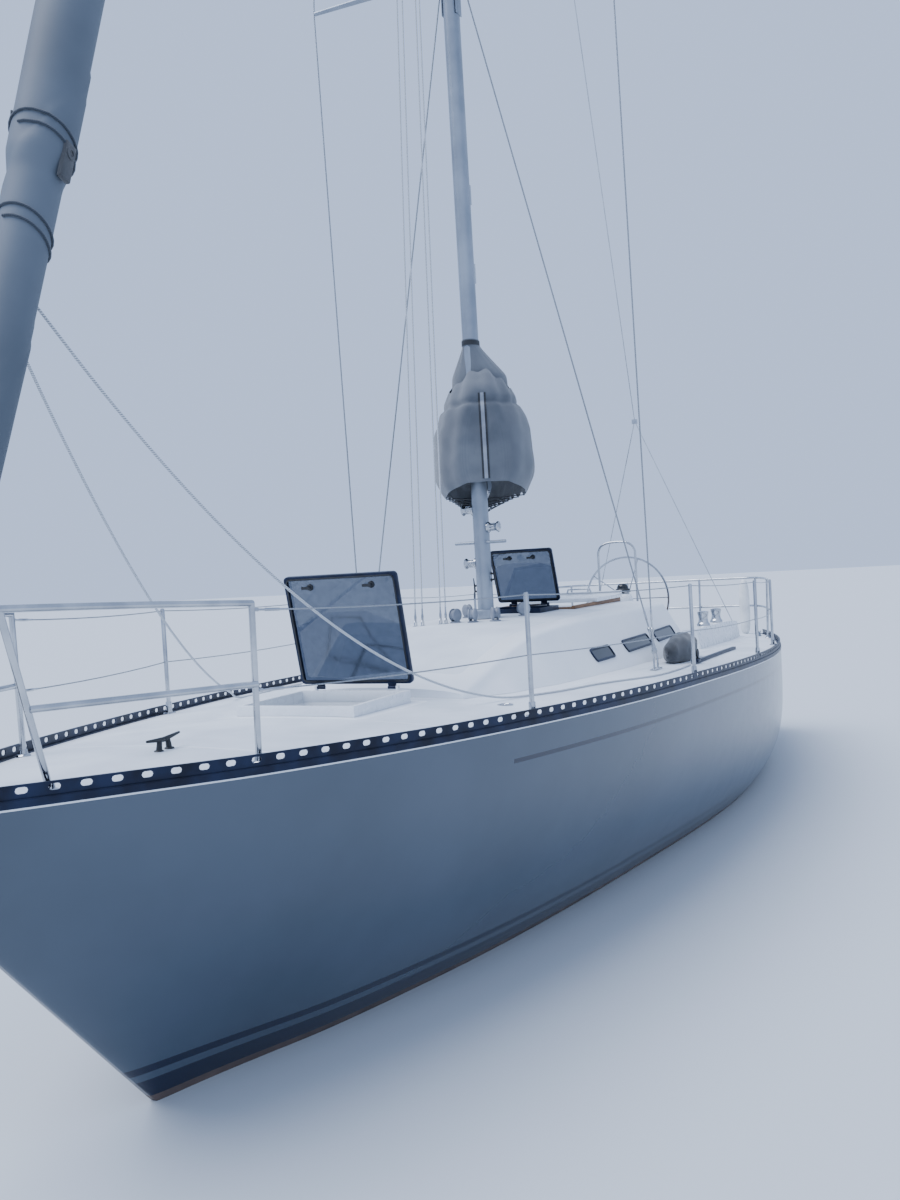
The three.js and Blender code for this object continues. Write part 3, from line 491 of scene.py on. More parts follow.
def hull_gelcoat():
    """Polyester gelcoat, sprayed in the mould and polished: a deep gloss with a faint ripple. Vinyl
    bands mark the waterline and a taped line runs below the rail, over matt bottom paint. Cockpit and
    cabin are lined in white."""
    marks = bpy.context.scene.yacht_hull
    # Painted shade: the hull's two tones are its white gelcoat darkened to blue-grey, as of a side out of the
    # light
    material, tree, shader = surfaced(("#3e4a58", "#475362"), (0.16, 0.26), (9, 0.5),
                                      {"Coat Weight": 0.3, "Coat Roughness": 0.06}, patches=1.1)
    place = add(tree, "TexCoord")
    axes = add(tree, "SeparateXYZ", {}, {"Vector": (place, "Object")})
    gel = shader.inputs["Base Color"].links[0].from_node
    paint = (gel, "Color")
    navy = tuple(marks.stripe_colour)
    for low, high in ((marks.paint_top, marks.band_top),
                      (marks.line_foot, marks.line_foot + marks.line_width)):
        paint = painted(tree, paint, (band(tree, (axes, "Z"), low, high), "Value"), navy)
    cove = add(tree, "Attribute", {"attribute_name": "cove"})
    near = band(tree, (cove, "Fac"), -marks.cove_width / 2, marks.cove_width / 2)
    aft = add(tree, "Math", {"operation": "LESS_THAN", 1: from_stem(marks.cove_start)}, {0: (axes, "X")})
    both = add(tree, "Math", {"operation": "MULTIPLY"}, {0: (near, "Value"), 1: (aft, "Value")})
    paint = painted(tree, paint, (both, "Value"), navy)
    slow = add(tree, "TexNoise", {"Scale": 7.0, "Detail": 6.0}, {"Vector": (place, "Object")})
    bottom = ramp_of(tree, (slow, "Fac"), ("#4b403d", "#66564f"), 0.3, 0.7)
    wet = add(tree, "Math", {"operation": "LESS_THAN", 1: marks.paint_top}, {0: (axes, "Z")})
    top = add(tree, "Mix", {"data_type": "RGBA"}, {0: (wet, "Value"), 6: paint, 7: (bottom, "Color")})
    well = add(tree, "Attribute", {"attribute_name": "well"})
    lining = ramp_of(tree, (slow, "Fac"), ("#c9d0d8", "#dde3e9"), 0.3, 0.7)
    lined = add(tree, "Mix", {"data_type": "RGBA"}, {0: (well, "Fac"), 6: (top, 2), 7: (lining, "Color")})
    tree.links.new(lined.outputs[2], shader.inputs["Base Color"])
    gloss = shader.inputs["Roughness"].links[0].from_node
    matt = add(tree, "Mix", {"data_type": "FLOAT", 3: 0.8}, {0: (wet, "Value"), 2: (gloss, "Result")})
    tree.links.new(matt.outputs[0], shader.inputs["Roughness"])
    return material


def deck_gelcoat():
    """Deck gelcoat: glossy borders round panels of moulded grit that grip the foot and hold the dirt."""
    material, tree, shader = surfaced(("#e3e8ee", "#eef1f4"), (0.3, 0.4), (14, 0.2), patches=1.4)
    gel = shader.inputs["Base Color"].links[0].from_node
    place = add(tree, "TexCoord")
    panel = add(tree, "Attribute", {"attribute_name": "panel"})
    inside = add(tree, "MapRange", {"From Min": -0.003, "From Max": 0.003}, {"Value": (panel, "Fac")})
    grit = add(tree, "TexVoronoi", {"Scale": 260.0}, {"Vector": (place, "Object")})
    dirt = add(tree, "TexNoise", {"Scale": 2.6, "Detail": 8.0}, {"Vector": (place, "Object")})
    worn = ramp_of(tree, (dirt, "Fac"), ("#c9d0d8", "#dde3e9"), 0.3, 0.62)
    both = add(tree, "Mix", {"data_type": "RGBA"}, {0: (inside, "Result"), 6: (gel, "Color"),
                                                    7: (worn, "Color")})
    tree.links.new(both.outputs[2], shader.inputs["Base Color"])
    rough = add(tree, "Mix", {"data_type": "FLOAT", 2: 0.32, 3: 0.62}, {0: (inside, "Result")})
    tree.links.new(rough.outputs[0], shader.inputs["Roughness"])
    height = add(tree, "Math", {"operation": "MULTIPLY"}, {0: (grit, "Distance"), 1: (inside, "Result")})
    bump = add(tree, "Bump", {"Distance": 0.0008}, {"Height": (height, "Value")})
    tree.links.new(bump.outputs["Normal"], shader.inputs["Normal"])
    return material


def stranded(tones, gloss, pitch, height, settings=None):
    """A finish of strands laid slantwise round a rope or wire, read from its own UV map, with painted shade
    between them.
    """
    material, tree, shader = bare_finish(settings or {})
    place = add(tree, "TexCoord")
    lay = add(tree, "Mapping", {"Rotation": (0, 0, math.radians(28))}, {"Vector": (place, "UV")})
    wave = add(tree, "TexWave", {"bands_direction": "Y", "Scale": 0.314 / pitch}, {"Vector": (lay, "Vector")})
    # Painted light and shade: the light tone on the strands' crowns, the dark tone in the grooves between
    # them
    ramp = ramp_of(tree, (wave, "Fac"), tones, 0.1, 0.8)
    tree.links.new(ramp.outputs["Color"], shader.inputs["Base Color"])
    rough = add(tree, "MapRange", {"To Min": gloss[0], "To Max": gloss[1]}, {"Value": (wave, "Fac")})
    tree.links.new(rough.outputs["Result"], shader.inputs["Roughness"])
    bump = add(tree, "Bump", {"Distance": height / 1000}, {"Height": (wave, "Fac")})
    tree.links.new(bump.outputs["Normal"], shader.inputs["Normal"])
    return material, tree, shader


def stainless_wire():
    """Laid stainless wire: strands with painted highlights and painted shade in the valleys, drawn coarse
    enough to show.
    """
    return stranded(("#6d7278", "#b4b8bd"), (0.2, 0.35), 0.007, 0.5, {"Metallic": 1.0})[0]


def braided_rope():
    """Braided polyester rope: two sets of plaits that cross, soft and a little furry, with painted shade in
    one set's grooves.
    """
    material, tree, shader = stranded(("#8f969f", "#d3d7dc"), (0.75, 0.9), 0.009, 0.9,
                                      {"Sheen Weight": 0.3, "Sheen Roughness": 0.5})
    place = add(tree, "TexCoord")
    back = add(tree, "Mapping", {"Rotation": (0, 0, math.radians(-28))}, {"Vector": (place, "UV")})
    cross = add(tree, "TexWave", {"bands_direction": "Y", "Scale": 0.314 / 0.009},
                {"Vector": (back, "Vector")})
    first = shader.inputs["Normal"].links[0].from_node
    bump = add(tree, "Bump", {"Distance": 0.0009}, {"Height": (cross, "Fac"), "Normal": (first, "Normal")})
    tree.links.new(bump.outputs["Normal"], shader.inputs["Normal"])
    return material


def dark_rope():
    """Braided polyester rope, navy gone grey: a fine plait with painted shade in its grooves, soft and dull.
    """
    return stranded(("#1d242f", "#3b4450"), (0.75, 0.9), 0.007, 0.7, {"Sheen Weight": 0.3})[0]


def smoked_acrylic():
    """Cast acrylic sheet, tinted grey: clear to look through, with a hard gloss and fine scratches."""
    material, tree, shader = bare_finish({"Transmission Weight": 1.0, "IOR": 1.49})
    place = add(tree, "TexCoord")
    haze = add(tree, "TexNoise", {"Scale": 30.0, "Detail": 6.0}, {"Vector": (place, "Object")})
    ramp = ramp_of(tree, (haze, "Fac"), ("#5a6371", "#69717f"), 0.3, 0.7)
    tree.links.new(ramp.outputs["Color"], shader.inputs["Base Color"])
    rough = add(tree, "MapRange", {"To Min": 0.01, "To Max": 0.07}, {"Value": (haze, "Fac")})
    tree.links.new(rough.outputs["Result"], shader.inputs["Roughness"])
    return material


def oiled_teak():
    """Oiled teak: straight brown grain with darker pores, silvering in patches."""
    material, tree, shader = surfaced(("#5f4128", "#8b6440"), (0.5, 0.7), (220, 0.3), patches=5.0,
                                      stretch=(0.06, 1, 1))
    place = add(tree, "TexCoord")
    drawn = add(tree, "Mapping", {"Scale": (0.5, 9, 9)}, {"Vector": (place, "Object")})
    grain = add(tree, "TexNoise", {"Scale": 14.0, "Detail": 8.0, "Distortion": 0.6},
                {"Vector": (drawn, "Vector")})
    ramp = ramp_of(tree, (grain, "Fac"), ("#53371f", "#9a7350"), 0.3, 0.72)
    tree.links.new(ramp.outputs["Color"], shader.inputs["Base Color"])
    return material


def woven(tones, thread, height, settings, patches=3.0):
    """A plain weave read from the piece's UV map in metres, with a slow drift of tone over it."""
    material, tree, shader = bare_finish({"Roughness": 0.88, **settings})
    place = add(tree, "TexCoord")
    waves = [add(tree, "TexWave", {"bands_direction": way, "Scale": 0.314 / thread},
                 {"Vector": (place, "UV")}) for way in ("X", "Y")]
    weave = add(tree, "Math", {"operation": "MULTIPLY"}, {0: (waves[0], "Fac"), 1: (waves[1], "Fac")})
    slow = add(tree, "TexNoise", {"Scale": patches, "Detail": 5.0}, {"Vector": (place, "Object")})
    ramp = ramp_of(tree, (slow, "Fac"), tones, 0.32, 0.68)
    shade = add(tree, "MapRange", {"To Min": 0.88, "To Max": 1.0}, {"Value": (weave, "Value")})
    lit = add(tree, "Mix", {"data_type": "RGBA", "blend_type": "MULTIPLY", 0: 1.0},
              {6: (ramp, "Color"), 7: (shade, "Result")})
    tree.links.new(lit.outputs[2], shader.inputs["Base Color"])
    bump = add(tree, "Bump", {"Distance": height / 1000}, {"Height": (weave, "Value")})
    tree.links.new(bump.outputs["Normal"], shader.inputs["Normal"])
    return material


def sail_cover_canvas():
    """Woven acrylic canvas, light grey given darker tones as painted shade: dull, soft, a weave of 2 mm drawn
    to show.
    """
    return woven(("#50565f", "#6c727a"), 0.002, 0.3, {"Sheen Weight": 0.25, "Sheen Roughness": 0.6})


def sailcloth():
    """Laid polyester sailcloth under its sun strip: off-white, given grey-blue tones as painted shade,
    slightly stiff and smooth.
    """
    return woven(("#525b66", "#656f7b"), 0.003, 0.15, {"Roughness": 0.62}, patches=1.6)


def dark_canvas():
    """Woven acrylic canvas in charcoal."""
    return woven(("#24272c", "#34383e"), 0.002, 0.3, {"Sheen Weight": 0.3, "Sheen Roughness": 0.6}, 6.0)


# Finishes that surfaced makes: tones, gloss, relief, settings, patches and any stretch
PLAIN = {
    # Hand-polished gelcoat mouldings: white, glossy, with a slight unevenness.
    "smooth_gelcoat": (("#dde3e9", "#e9edf1"), (0.22, 0.34), (18, 0.2), {}, 2.0),
    # Copper bottom paint, rolled on: matt, patchy, with an orange-peel skin.
    "bottom_paint": (("#4b403d", "#66564f"), (0.72, 0.86), (90, 0.4), {}, 6.0),
    # Clear anodised mast alloy, weathered: satin grey with fine die lines along it.
    "clear_anodised": (("#878f9a", "#a0a8b2"), (0.34, 0.5), (420, 0.05), {"Metallic": 0.85}, 3.0,
                       (1, 1, 0.02)),
    # Blue-black anodised alloy: satin, rubbed a little lighter in patches.
    "navy_anodised": (("#0d1426", "#1c2742"), (0.32, 0.48), (160, 0.08), {"Metallic": 0.55}, 9.0),
    # Electropolished stainless tube and fittings: bright, with faint buffing lines.
    "polished_stainless": (("#a9adb3", "#c6c9cd"), (0.1, 0.24), (300, 0.02), {"Metallic": 1.0}, 8.0),
    # Sand-cast bronze, dulled by the sea: warm brown with a green cast in patches.
    "cast_bronze": (("#6d5b33", "#94733f"), (0.35, 0.55), (120, 0.2), {"Metallic": 0.9}, 14.0),
    # Dark acrylic over the cabin's side lights: black from outside, and glossy.
    "dark_glazing": (("#12161c", "#1d232b"), (0.04, 0.1), (20, 0.05), {}, 3.0),
    # Moulded white vinyl: soft gloss, scuffed in patches.
    "inflated_vinyl": (("#d3d6d8", "#e8eaea"), (0.32, 0.5), (60, 0.1), {}, 7.0),
    # Moulded glass-filled nylon: charcoal, satin, with a fine eggshell skin.
    "black_nylon": (("#15171b", "#24272c"), (0.42, 0.58), (320, 0.1), {}, 12.0),
    # Moulded nylon gone grey in the sun.
    "grey_nylon": (("#727884", "#8a919c"), (0.45, 0.6), (320, 0.1), {}, 12.0),
    # Lamp lenses, moulded in clear plastic.
    "red_lens": (("#7c1614", "#96211c"), (0.08, 0.16), (40, 0.05), {"Coat Weight": 0.5}, 10.0),
    "green_lens": (("#0f5a38", "#167047"), (0.08, 0.16), (40, 0.05), {"Coat Weight": 0.5}, 10.0),
    "white_lens": (("#c9cdd0", "#dfe2e4"), (0.08, 0.16), (40, 0.05), {"Coat Weight": 0.5}, 10.0),
}
FINISHES = {make.__name__: make for make in (
    hull_gelcoat, deck_gelcoat, stainless_wire, braided_rope, dark_rope, smoked_acrylic, oiled_teak,
    sail_cover_canvas, sailcloth, dark_canvas)}
made_finishes = {}


def finish(name):
    """The finish of that name, made the first time it is asked for."""
    if name not in made_finishes:
        made_finishes[name] = surfaced(*PLAIN[name])[0] if name in PLAIN else FINISHES[name]()
        made_finishes[name].name = name
    return made_finishes[name]


# Sizes and colours a user would change

def metres(name, default, description):
    """A size."""
    return FloatProperty(name=name, description=description, default=default, unit="LENGTH")


def degrees(name, default, description):
    """An angle, its default in degrees."""
    return FloatProperty(name=name, description=description, default=math.radians(default), unit="ROTATION")


def factor(name, default, description):
    """A plain number."""
    return FloatProperty(name=name, description=description, default=default)


def colour(name, default, description):
    """A colour, its default in hex sRGB."""
    return FloatVectorProperty(name=name, description=description, subtype="COLOR", size=4,
                               default=linear(default))


class YachtStage(PropertyGroup):
    """Camera, light and floor"""
    eye_ahead: metres("Eye ahead", 2.106, "Camera ahead of the stem head")
    eye_port: metres("Eye to port", 2.983, "Camera to port of the centreline")
    eye_height: metres("Eye height", 2.089, "Camera above the water")
    eye_turn: degrees("Eye turn", 24.80, "View from dead aft round to starboard")
    eye_dip: degrees("Eye dip", 1.93, "View below the horizon")
    eye_roll: degrees("Eye roll", 3.38, "Lean of the picture")
    lens: factor("Lens", 32.31, "Focal length in mm on a 36 mm frame")
    sky: factor("Sky", 1.46, "Strength of the light from all round")
    lamp: factor("Lamp", 3.8, "Strength of the soft light from above")
    sky_colour: colour("Sky colour", "#b0c4e8", "Colour of the light from all round")
    floor_colour: colour("Floor", "#c6ccd2", "Colour of the floor")


class YachtHull(PropertyGroup):
    """Stripes on the hull"""
    paint_top: metres("Bottom paint", 0.036, "Top of the bottom paint")
    band_top: metres("Band top", 0.122, "Top of the broad waterline band")
    line_foot: metres("Line foot", 0.158, "Foot of the thin line above the band")
    line_width: metres("Line width", 0.036, "Width of the thin line")
    cove_width: metres("Cove width", 0.022, "Width of the line below the rail")
    cove_start: metres("Cove start", 2.58, "Where that line starts, aft of the stem head")
    cove_drop_fore: metres("Cove drop forward", 0.18, "Line below the deck edge at its start")
    cove_drop_aft: metres("Cove drop aft", 0.13, "Line below the deck edge at the stern")
    stripe_colour: colour("Stripes", "#0c1730", "Colour of the bands and lines")


class YachtRails(PropertyGroup):
    """Toe rails, guards and lifelines"""
    slot_pitch: metres("Slot pitch", 0.105, "Toe rail slots, one to the next")
    slot_length: metres("Slot length", 0.042, "Length of a toe rail slot")
    slot_height: metres("Slot height", 0.022, "Height of a toe rail slot")
    rail_height: metres("Rail height", 0.052, "Toe rail above the deck edge")
    tube: metres("Tube", 0.0125, "Radius of the guard tubes and stanchions")
    lifeline: metres("Lifeline", 0.0032, "Radius of a lifeline")


class YachtRig(PropertyGroup):
    """Wires and ropes"""
    wire: metres("Wire", 0.005, "Radius of the shrouds and backstay")
    halyard: metres("Halyard", 0.005, "Radius of a halyard")
    sheet: metres("Sheet", 0.012, "Diameter of a genoa sheet")
    sheet_sag_port: metres("Port sheet sag", 0.502, "Sag of the port genoa sheet")
    sheet_sag_starboard: metres("Starboard sheet sag", 0.26, "Sag of the starboard genoa sheet")


class YachtSails(PropertyGroup):
    """Furled genoa and sail cover"""
    wrap_pitch: metres("Wrap pitch", 1.15, "Height of one turn of the furled sail's edge")
    folds: IntProperty(name="Folds", description="Folds round the sail cover", default=9)
    fold_depth: metres("Fold depth", 0.016, "Depth of the sail cover's folds")


# Stage

class YACHT_OT_stage(Operator):
    """Lays the floor, lights it softly and sets the camera at the photograph's angle"""
    bl_idname = "yacht.stage"
    bl_label = "Stage"

    def execute(self, context):
        scene, stage = context.scene, context.scene.yacht_stage
        camera = linked("camera", bpy.data.cameras.new("camera"))
        scene.camera = camera
        flat = math.cos(stage.eye_dip)
        look = Vector((-math.cos(stage.eye_turn) * flat, -math.sin(stage.eye_turn) * flat,
                       -math.sin(stage.eye_dip)))
        turn = look.to_track_quat("-Z", "Y").to_matrix().to_4x4() @ Matrix.Rotation(-stage.eye_roll, 4, "Z")
        eye = Vector((from_stem(-stage.eye_ahead), stage.eye_port, stage.eye_height))
        camera.matrix_world = Matrix.Translation(eye) @ turn
        camera.data.lens = stage.lens
        camera.data.clip_end = 400
        world = bpy.data.worlds.new("soft light")
        scene.world = world
        world.use_nodes = True
        sky = world.node_tree.nodes["Background"]
        sky.inputs["Color"].default_value = tuple(stage.sky_colour)
        sky.inputs["Strength"].default_value = stage.sky
        for name, energy, spread, way in (("soft lamp", stage.lamp, 50, (-0.30, 0.42, -1.0)),
                                          ("fill", stage.lamp * 0.1, 90, (-0.8, -0.7, -0.35))):
            lamp = linked(name, bpy.data.lights.new(name, "SUN"))
            lamp.data.energy, lamp.data.angle = energy, math.radians(spread)
            lamp.data.color = linear("#f2f5ff")[:3]
            lamp.matrix_world = Vector(way).to_track_quat("-Z", "Y").to_matrix().to_4x4()
        bpy.ops.object.select_all(action="DESELECT")
        bpy.ops.mesh.primitive_plane_add(size=160, location=(0, 0, 0))
        floor = context.object
        floor.name = "floor"
        paint, _, shader = bare_finish({"Roughness": 0.7})
        shader.inputs["Base Color"].default_value = tuple(stage.floor_colour)
        paint.name = "floor_paint"
        floor.data.materials.append(paint)
        return {"FINISHED"}


# Ropes that hang

SHEETS = {
    # start on the rolled sail, where it meets the deck, then along the side deck to its lead:
    # (s, y, z), and (s, y) on the deck
    "port": ((0.904, -0.036, 3.157), (3.727, 0.95), ((4.2, 1.06), (4.75, 1.24), (5.2, 1.285), (5.60, 1.29))),
    "starboard": ((0.841, -0.050, 2.995), (3.566, -1.154),
                  ((4.1, -1.22), (4.75, -1.27), (5.2, -1.285), (5.60, -1.29))),
}


class YACHT_OT_sheets(Operator):
    """Hangs the two genoa sheets from the rolled sail to the side decks"""
    bl_idname = "yacht.sheets"
    bl_label = "Genoa sheets"

    def execute(self, context):
        rig = context.scene.yacht_rig
        radius = rig.sheet / 2
        for side, (start, foot, lead) in SHEETS.items():
            sag = rig.sheet_sag_port if side == "port" else rig.sheet_sag_starboard
            top = Vector((from_stem(start[0]), start[1], start[2]))
            low = Vector((from_stem(foot[0]), foot[1], deck_z(*foot) + radius))
            hung = []
            for k in range(25):
                t = k / 24
                place = top.lerp(low, t)
                place.z -= sag * 4 * t * (1 - t)
                lowest = deck_z(BOW_X - place.x, place.y) + radius if t > 0.4 else -9
                place.z = max(place.z, lowest)
                hung.append(place)
            laid = [Vector((from_stem(s), y, deck_z(s, y) + radius)) for s, y in lead]
            route = eased(hung[::2] + laid, 0.05)
            sheet = rope(route, radius, 10)
            keep(sheet, f"genoa_sheet_{side}", "braided_rope", "sailcloth", angle=60)
        return {"FINISHED"}


# Hull, deck and roof

def store(piece, name, values):
    """Keeps one number a point on a piece, for its finish to read."""
    layer = piece.data.attributes.new(name, "FLOAT", "POINT")
    layer.data.foreach_set("value", values)


# What opens the hull from above, lined in white: first and last s, half width and foot
WELLS = ((2.43, 3.01, 0.33, 0.75), (5.39, 5.79, 0.24, 0.49), (6.41, 7.07, 0.32, 0.24),
         (7.25, 9.43, 0.87, 0.69))


def turns_over(place):
    """Whether the hull's two sides run into each other there: stem, bottom or stern."""
    return abs(place.y) < 0.024 and (place.x > 3.2 or place.x < -4.3 or (place.z < 0.2 and place.x > -3.6))


class YACHT_OT_hull(Operator):
    """Fairs the hull's skin round the frame and marks where its stripes go"""
    bl_idname = "yacht.hull"
    bl_label = "Hull"

    def execute(self, context):
        marks = context.scene.yacht_hull
        hull = refined("hull", crease=48, levels=2, loose=turns_over)
        run = (marks.cove_start, EDGE[-1, 0])
        cove, wells = [], []
        for vertex in hull.data.vertices:
            s = BOW_X - vertex.co.x
            wells.append(float(any(s0 < s < s1 and abs(vertex.co.y) < half and vertex.co.z > foot
                                   for s0, s1, half, foot in WELLS)))
            drop = float(np.interp(s, run, (marks.cove_drop_fore, marks.cove_drop_aft)))
            cove.append(edge_at(s)[1] - drop - vertex.co.z)
        store(hull, "cove", cove)
        store(hull, "well", wells)
        keep(hull, "hull_shell", "hull_gelcoat", "topsides", "hull", angle=40)
        return {"FINISHED"}


# The panels of grit on the deck and roof: first and last s, and the margin to their borders
DECK_PANELS = (0.55, 1.45, 2.35, 3.9, 5.3, 6.7, 8.1, 9.45, 10.15)
ROOF_PANELS = (3.42, 4.72, 5.32, 5.95)
PANEL_MARGIN = 0.035
ROOF_FOOT = ((3.23, 0.70), (3.6, 0.79), (4.05, 0.86), (4.5, 0.91), (5.1, 0.96), (6.0, 1.0), (7.18, 1.045),
             (8.7, 1.045), (9.43, 0.99))
ROOF_EDGE = ((3.23, 0.50), (3.6, 0.53), (4.05, 0.56), (4.5, 0.595), (5.1, 0.64), (7.18, 0.675))


def panel_depth(s, y, borders, inner, outer):
    """How far inside a panel of grit a place lies, negative outside."""
    across = min(abs(y) - inner, outer - abs(y)) if inner else outer - abs(y)
    along = -1.0
    for low, high in zip(borders, borders[1:]):
        along = max(along, min(s - low, high - s) - PANEL_MARGIN / 2)
    return min(across - PANEL_MARGIN, along)


class YACHT_OT_deck(Operator):
    """Fairs the deck and marks its panels of grit"""
    bl_idname = "yacht.deck"
    bl_label = "Deck"

    def execute(self, context):
        deck = refined("deck", crease=48, levels=2)
        foot = np.array(ROOF_FOOT)
        depths = []
        for vertex in deck.data.vertices:
            s, y = BOW_X - vertex.co.x, vertex.co.y
            inner = float(np.interp(s, foot[:, 0], foot[:, 1])) + 0.03 if 3.23 < s < 9.43 else 0
            depth = panel_depth(s, y, DECK_PANELS, inner, edge_at(s)[0] - 0.075)
            if 2.3 < s < 3.2:
                depth = min(depth, max(abs(y) - 0.42, 2.36 - s, s - 3.1))
            depths.append(depth if vertex.co.z > edge_at(s)[1] - 0.01 else -1)
        store(deck, "panel", depths)
        keep(deck, "deck_moulding", "deck_gelcoat", "deck", "deck", angle=40)
        return {"FINISHED"}


class YACHT_OT_coachroof(Operator):
    """Rounds the coachroof and marks its grit"""
    bl_idname = "yacht.coachroof"
    bl_label = "Coachroof"

    def execute(self, context):
        roof = refined("coachroof", crease=60, levels=3)
        edge = np.array(ROOF_EDGE)
        depths = []
        for vertex in roof.data.vertices:
            s, y = BOW_X - vertex.co.x, vertex.co.y
            depth = panel_depth(s, y, ROOF_PANELS, 0, float(np.interp(s, edge[:, 0], edge[:, 1])) - 0.03)
            mast = math.hypot(vertex.co.x - MAST_X, y) - 0.20
            depths.append(min(depth, mast) if vertex.co.z > 1.40 else -1)
        store(roof, "panel", depths)
        keep(roof, "coachroof_moulding", "deck_gelcoat", "roof", "coachroof", angle=40)
        return {"FINISHED"}


# Toe rails

RAIL_FROM, RAIL_TO, RAIL_INSET = 0.20, 10.20, 0.006    # first and last s, and in from the deck's edge


def rail_segment(rails):
    """One pitch of the toe rail's web with its slot, its outer face at y 0 and its foot at z 0."""
    long, high = rails.slot_pitch, rails.rail_height
    half, drop = rails.slot_length / 2, rails.slot_height / 2
    middle = high - 0.0085 - drop
    slot = [(long / 2 + sx * (half - drop) + drop * math.cos(a), middle + drop * math.sin(a))
            for sx, angles in ((1, (-90, -45, 0, 45, 90)), (-1, (90, 135, 180, 225, 270)))
            for a in map(math.radians, angles)]
    border = [(long * 0.62, 0), (long, 0), (long, middle), (long, high), (long * 0.62, high),
              (long * 0.38, high), (0, high), (0, middle), (0, 0), (long * 0.38, 0)]
    web = bmesh.new()
    outer = [web.verts.new((x, 0, z)) for x, z in border]
    inner = [web.verts.new((x, 0, z)) for x, z in slot]
    for i in range(10):
        n = (i + 1) % 10
        web.faces.new((outer[i], outer[n], inner[n], inner[i]))
    return walled(skinned("rail", web), 0.005)


class YACHT_OT_toe_rails(Operator):
    """Runs the slotted toe rails along both deck edges"""
    bl_idname = "yacht.toe_rails"
    bl_label = "Toe rails"

    def execute(self, context):
        rails = context.scene.yacht_rails
        path_points = []
        for s in np.arange(RAIL_FROM, RAIL_TO + 0.001, 0.1):
            half, z = edge_at(s)
            path_points.append((from_stem(s), half - RAIL_INSET, z))
        length = sum((Vector(b) - Vector(a)).length for a, b in zip(path_points, path_points[1:]))
        count = round(length / rails.slot_pitch)
        curve = bpy.data.curves.new("deck edge", "CURVE")
        curve.dimensions = "3D"
        curve.twist_mode = "Z_UP"
        spline = curve.splines.new("POLY")
        spline.points.add(len(path_points) - 1)
        for knot, place in zip(spline.points, path_points):
            knot.co = (*place, 1)
        line = linked("deck edge", curve)
        pitch, high = rails.slot_pitch, rails.rail_height
        pieces = [rail_segment(rails)]
        for (y0, z0), (y1, z1) in (((-0.0005, high - 0.007), (0.0095, high)),     # rolled top
                                   ((0.004, 0.0035), (0.030, 0.0085)),            # flange on the deck
                                   ((-0.0078, -0.0225), (-0.0062, 0.004)),        # lip over the hull's edge
                                   ((-0.0078, 0.0025), (0.004, 0.006))):          # joint of lip and web
            pieces.append(block((0, y0, z0), (pitch, y1, z1)))
        rail = changed(joined(pieces), "ARRAY", count=count, use_relative_offset=False,
                       use_constant_offset=True, constant_offset_displace=(pitch, 0, 0),
                       use_merge_vertices=True, merge_threshold=0.0001)
        moved(rail, Matrix.Diagonal((length / (count * pitch), 1, 1, 1)))
        settle(changed(rail, "CURVE", object=line, deform_axis="POS_X"))
        bpy.data.objects.remove(line)
        for rail, side in ((rail, "port"), (mirrored(rail), "starboard")):
            keep(rail, f"toe_rail_{side}_slotted", "navy_anodised", "dark_alloy", f"toe_rail_{side}")
        return {"FINISHED"}


# Hatches

def plate(x0, x1, half, foot, thick, corner, rim=0.0, edge=0.0):
    """A flat plate with round corners, or a ring where it has a rim, from x0 to x1 and half to each side,
    its underside at foot."""
    bpy.ops.object.select_all(action="DESELECT")
    bpy.ops.mesh.primitive_plane_add(size=1, location=((x0 + x1) / 2, 0, foot))
    piece = bpy.context.object
    piece.scale = (x1 - x0, 2 * half, 1)
    settle(piece)
    bpy.ops.object.mode_set(mode="EDIT")
    bpy.ops.mesh.select_all(action="SELECT")
    bpy.ops.mesh.bevel(offset=corner, segments=5, affect="VERTICES")
    if rim:
        bpy.ops.mesh.select_all(action="SELECT")
        bpy.ops.mesh.inset(thickness=rim)
        bpy.ops.mesh.delete(type="FACE")
    bpy.ops.object.mode_set(mode="OBJECT")
    walled(piece, thick, 1)
    return bevelled(piece, edge, 2, 50) if edge else piece


HATCHES = (
    # name, first and last s of the opening, its half breadth, coaming wall and top, lug y, frame height,
    # pane thickness, how far it stands open in degrees, the coaming's finish and slot
    ("foredeck_hatch", 2.44, 3.00, 0.320, 0.026, 1.425, 0.250, 0.034, 0.012, 78, "smooth_gelcoat",
     "topsides"),
    ("roof_hatch", 5.40, 5.78, 0.230, 0.022, 1.722, 0.150, 0.030, 0.010, 70, "navy_anodised", "dark_alloy"),
)
# The hinge's axis aft of the coaming and above it, the lid ahead of the axis, and each knuckle
HINGE_AFT, HINGE_UP, HINGE_RING, HINGE_R, KNUCKLE = 0.024, 0.012, 0.018, 0.009, 0.050
LID_RIM = 0.020
DOG = [(0, 0), (0.019, 0), (0.019, 0.008), (0.013, 0.013), (0.011, 0.026), (0, 0.028)]


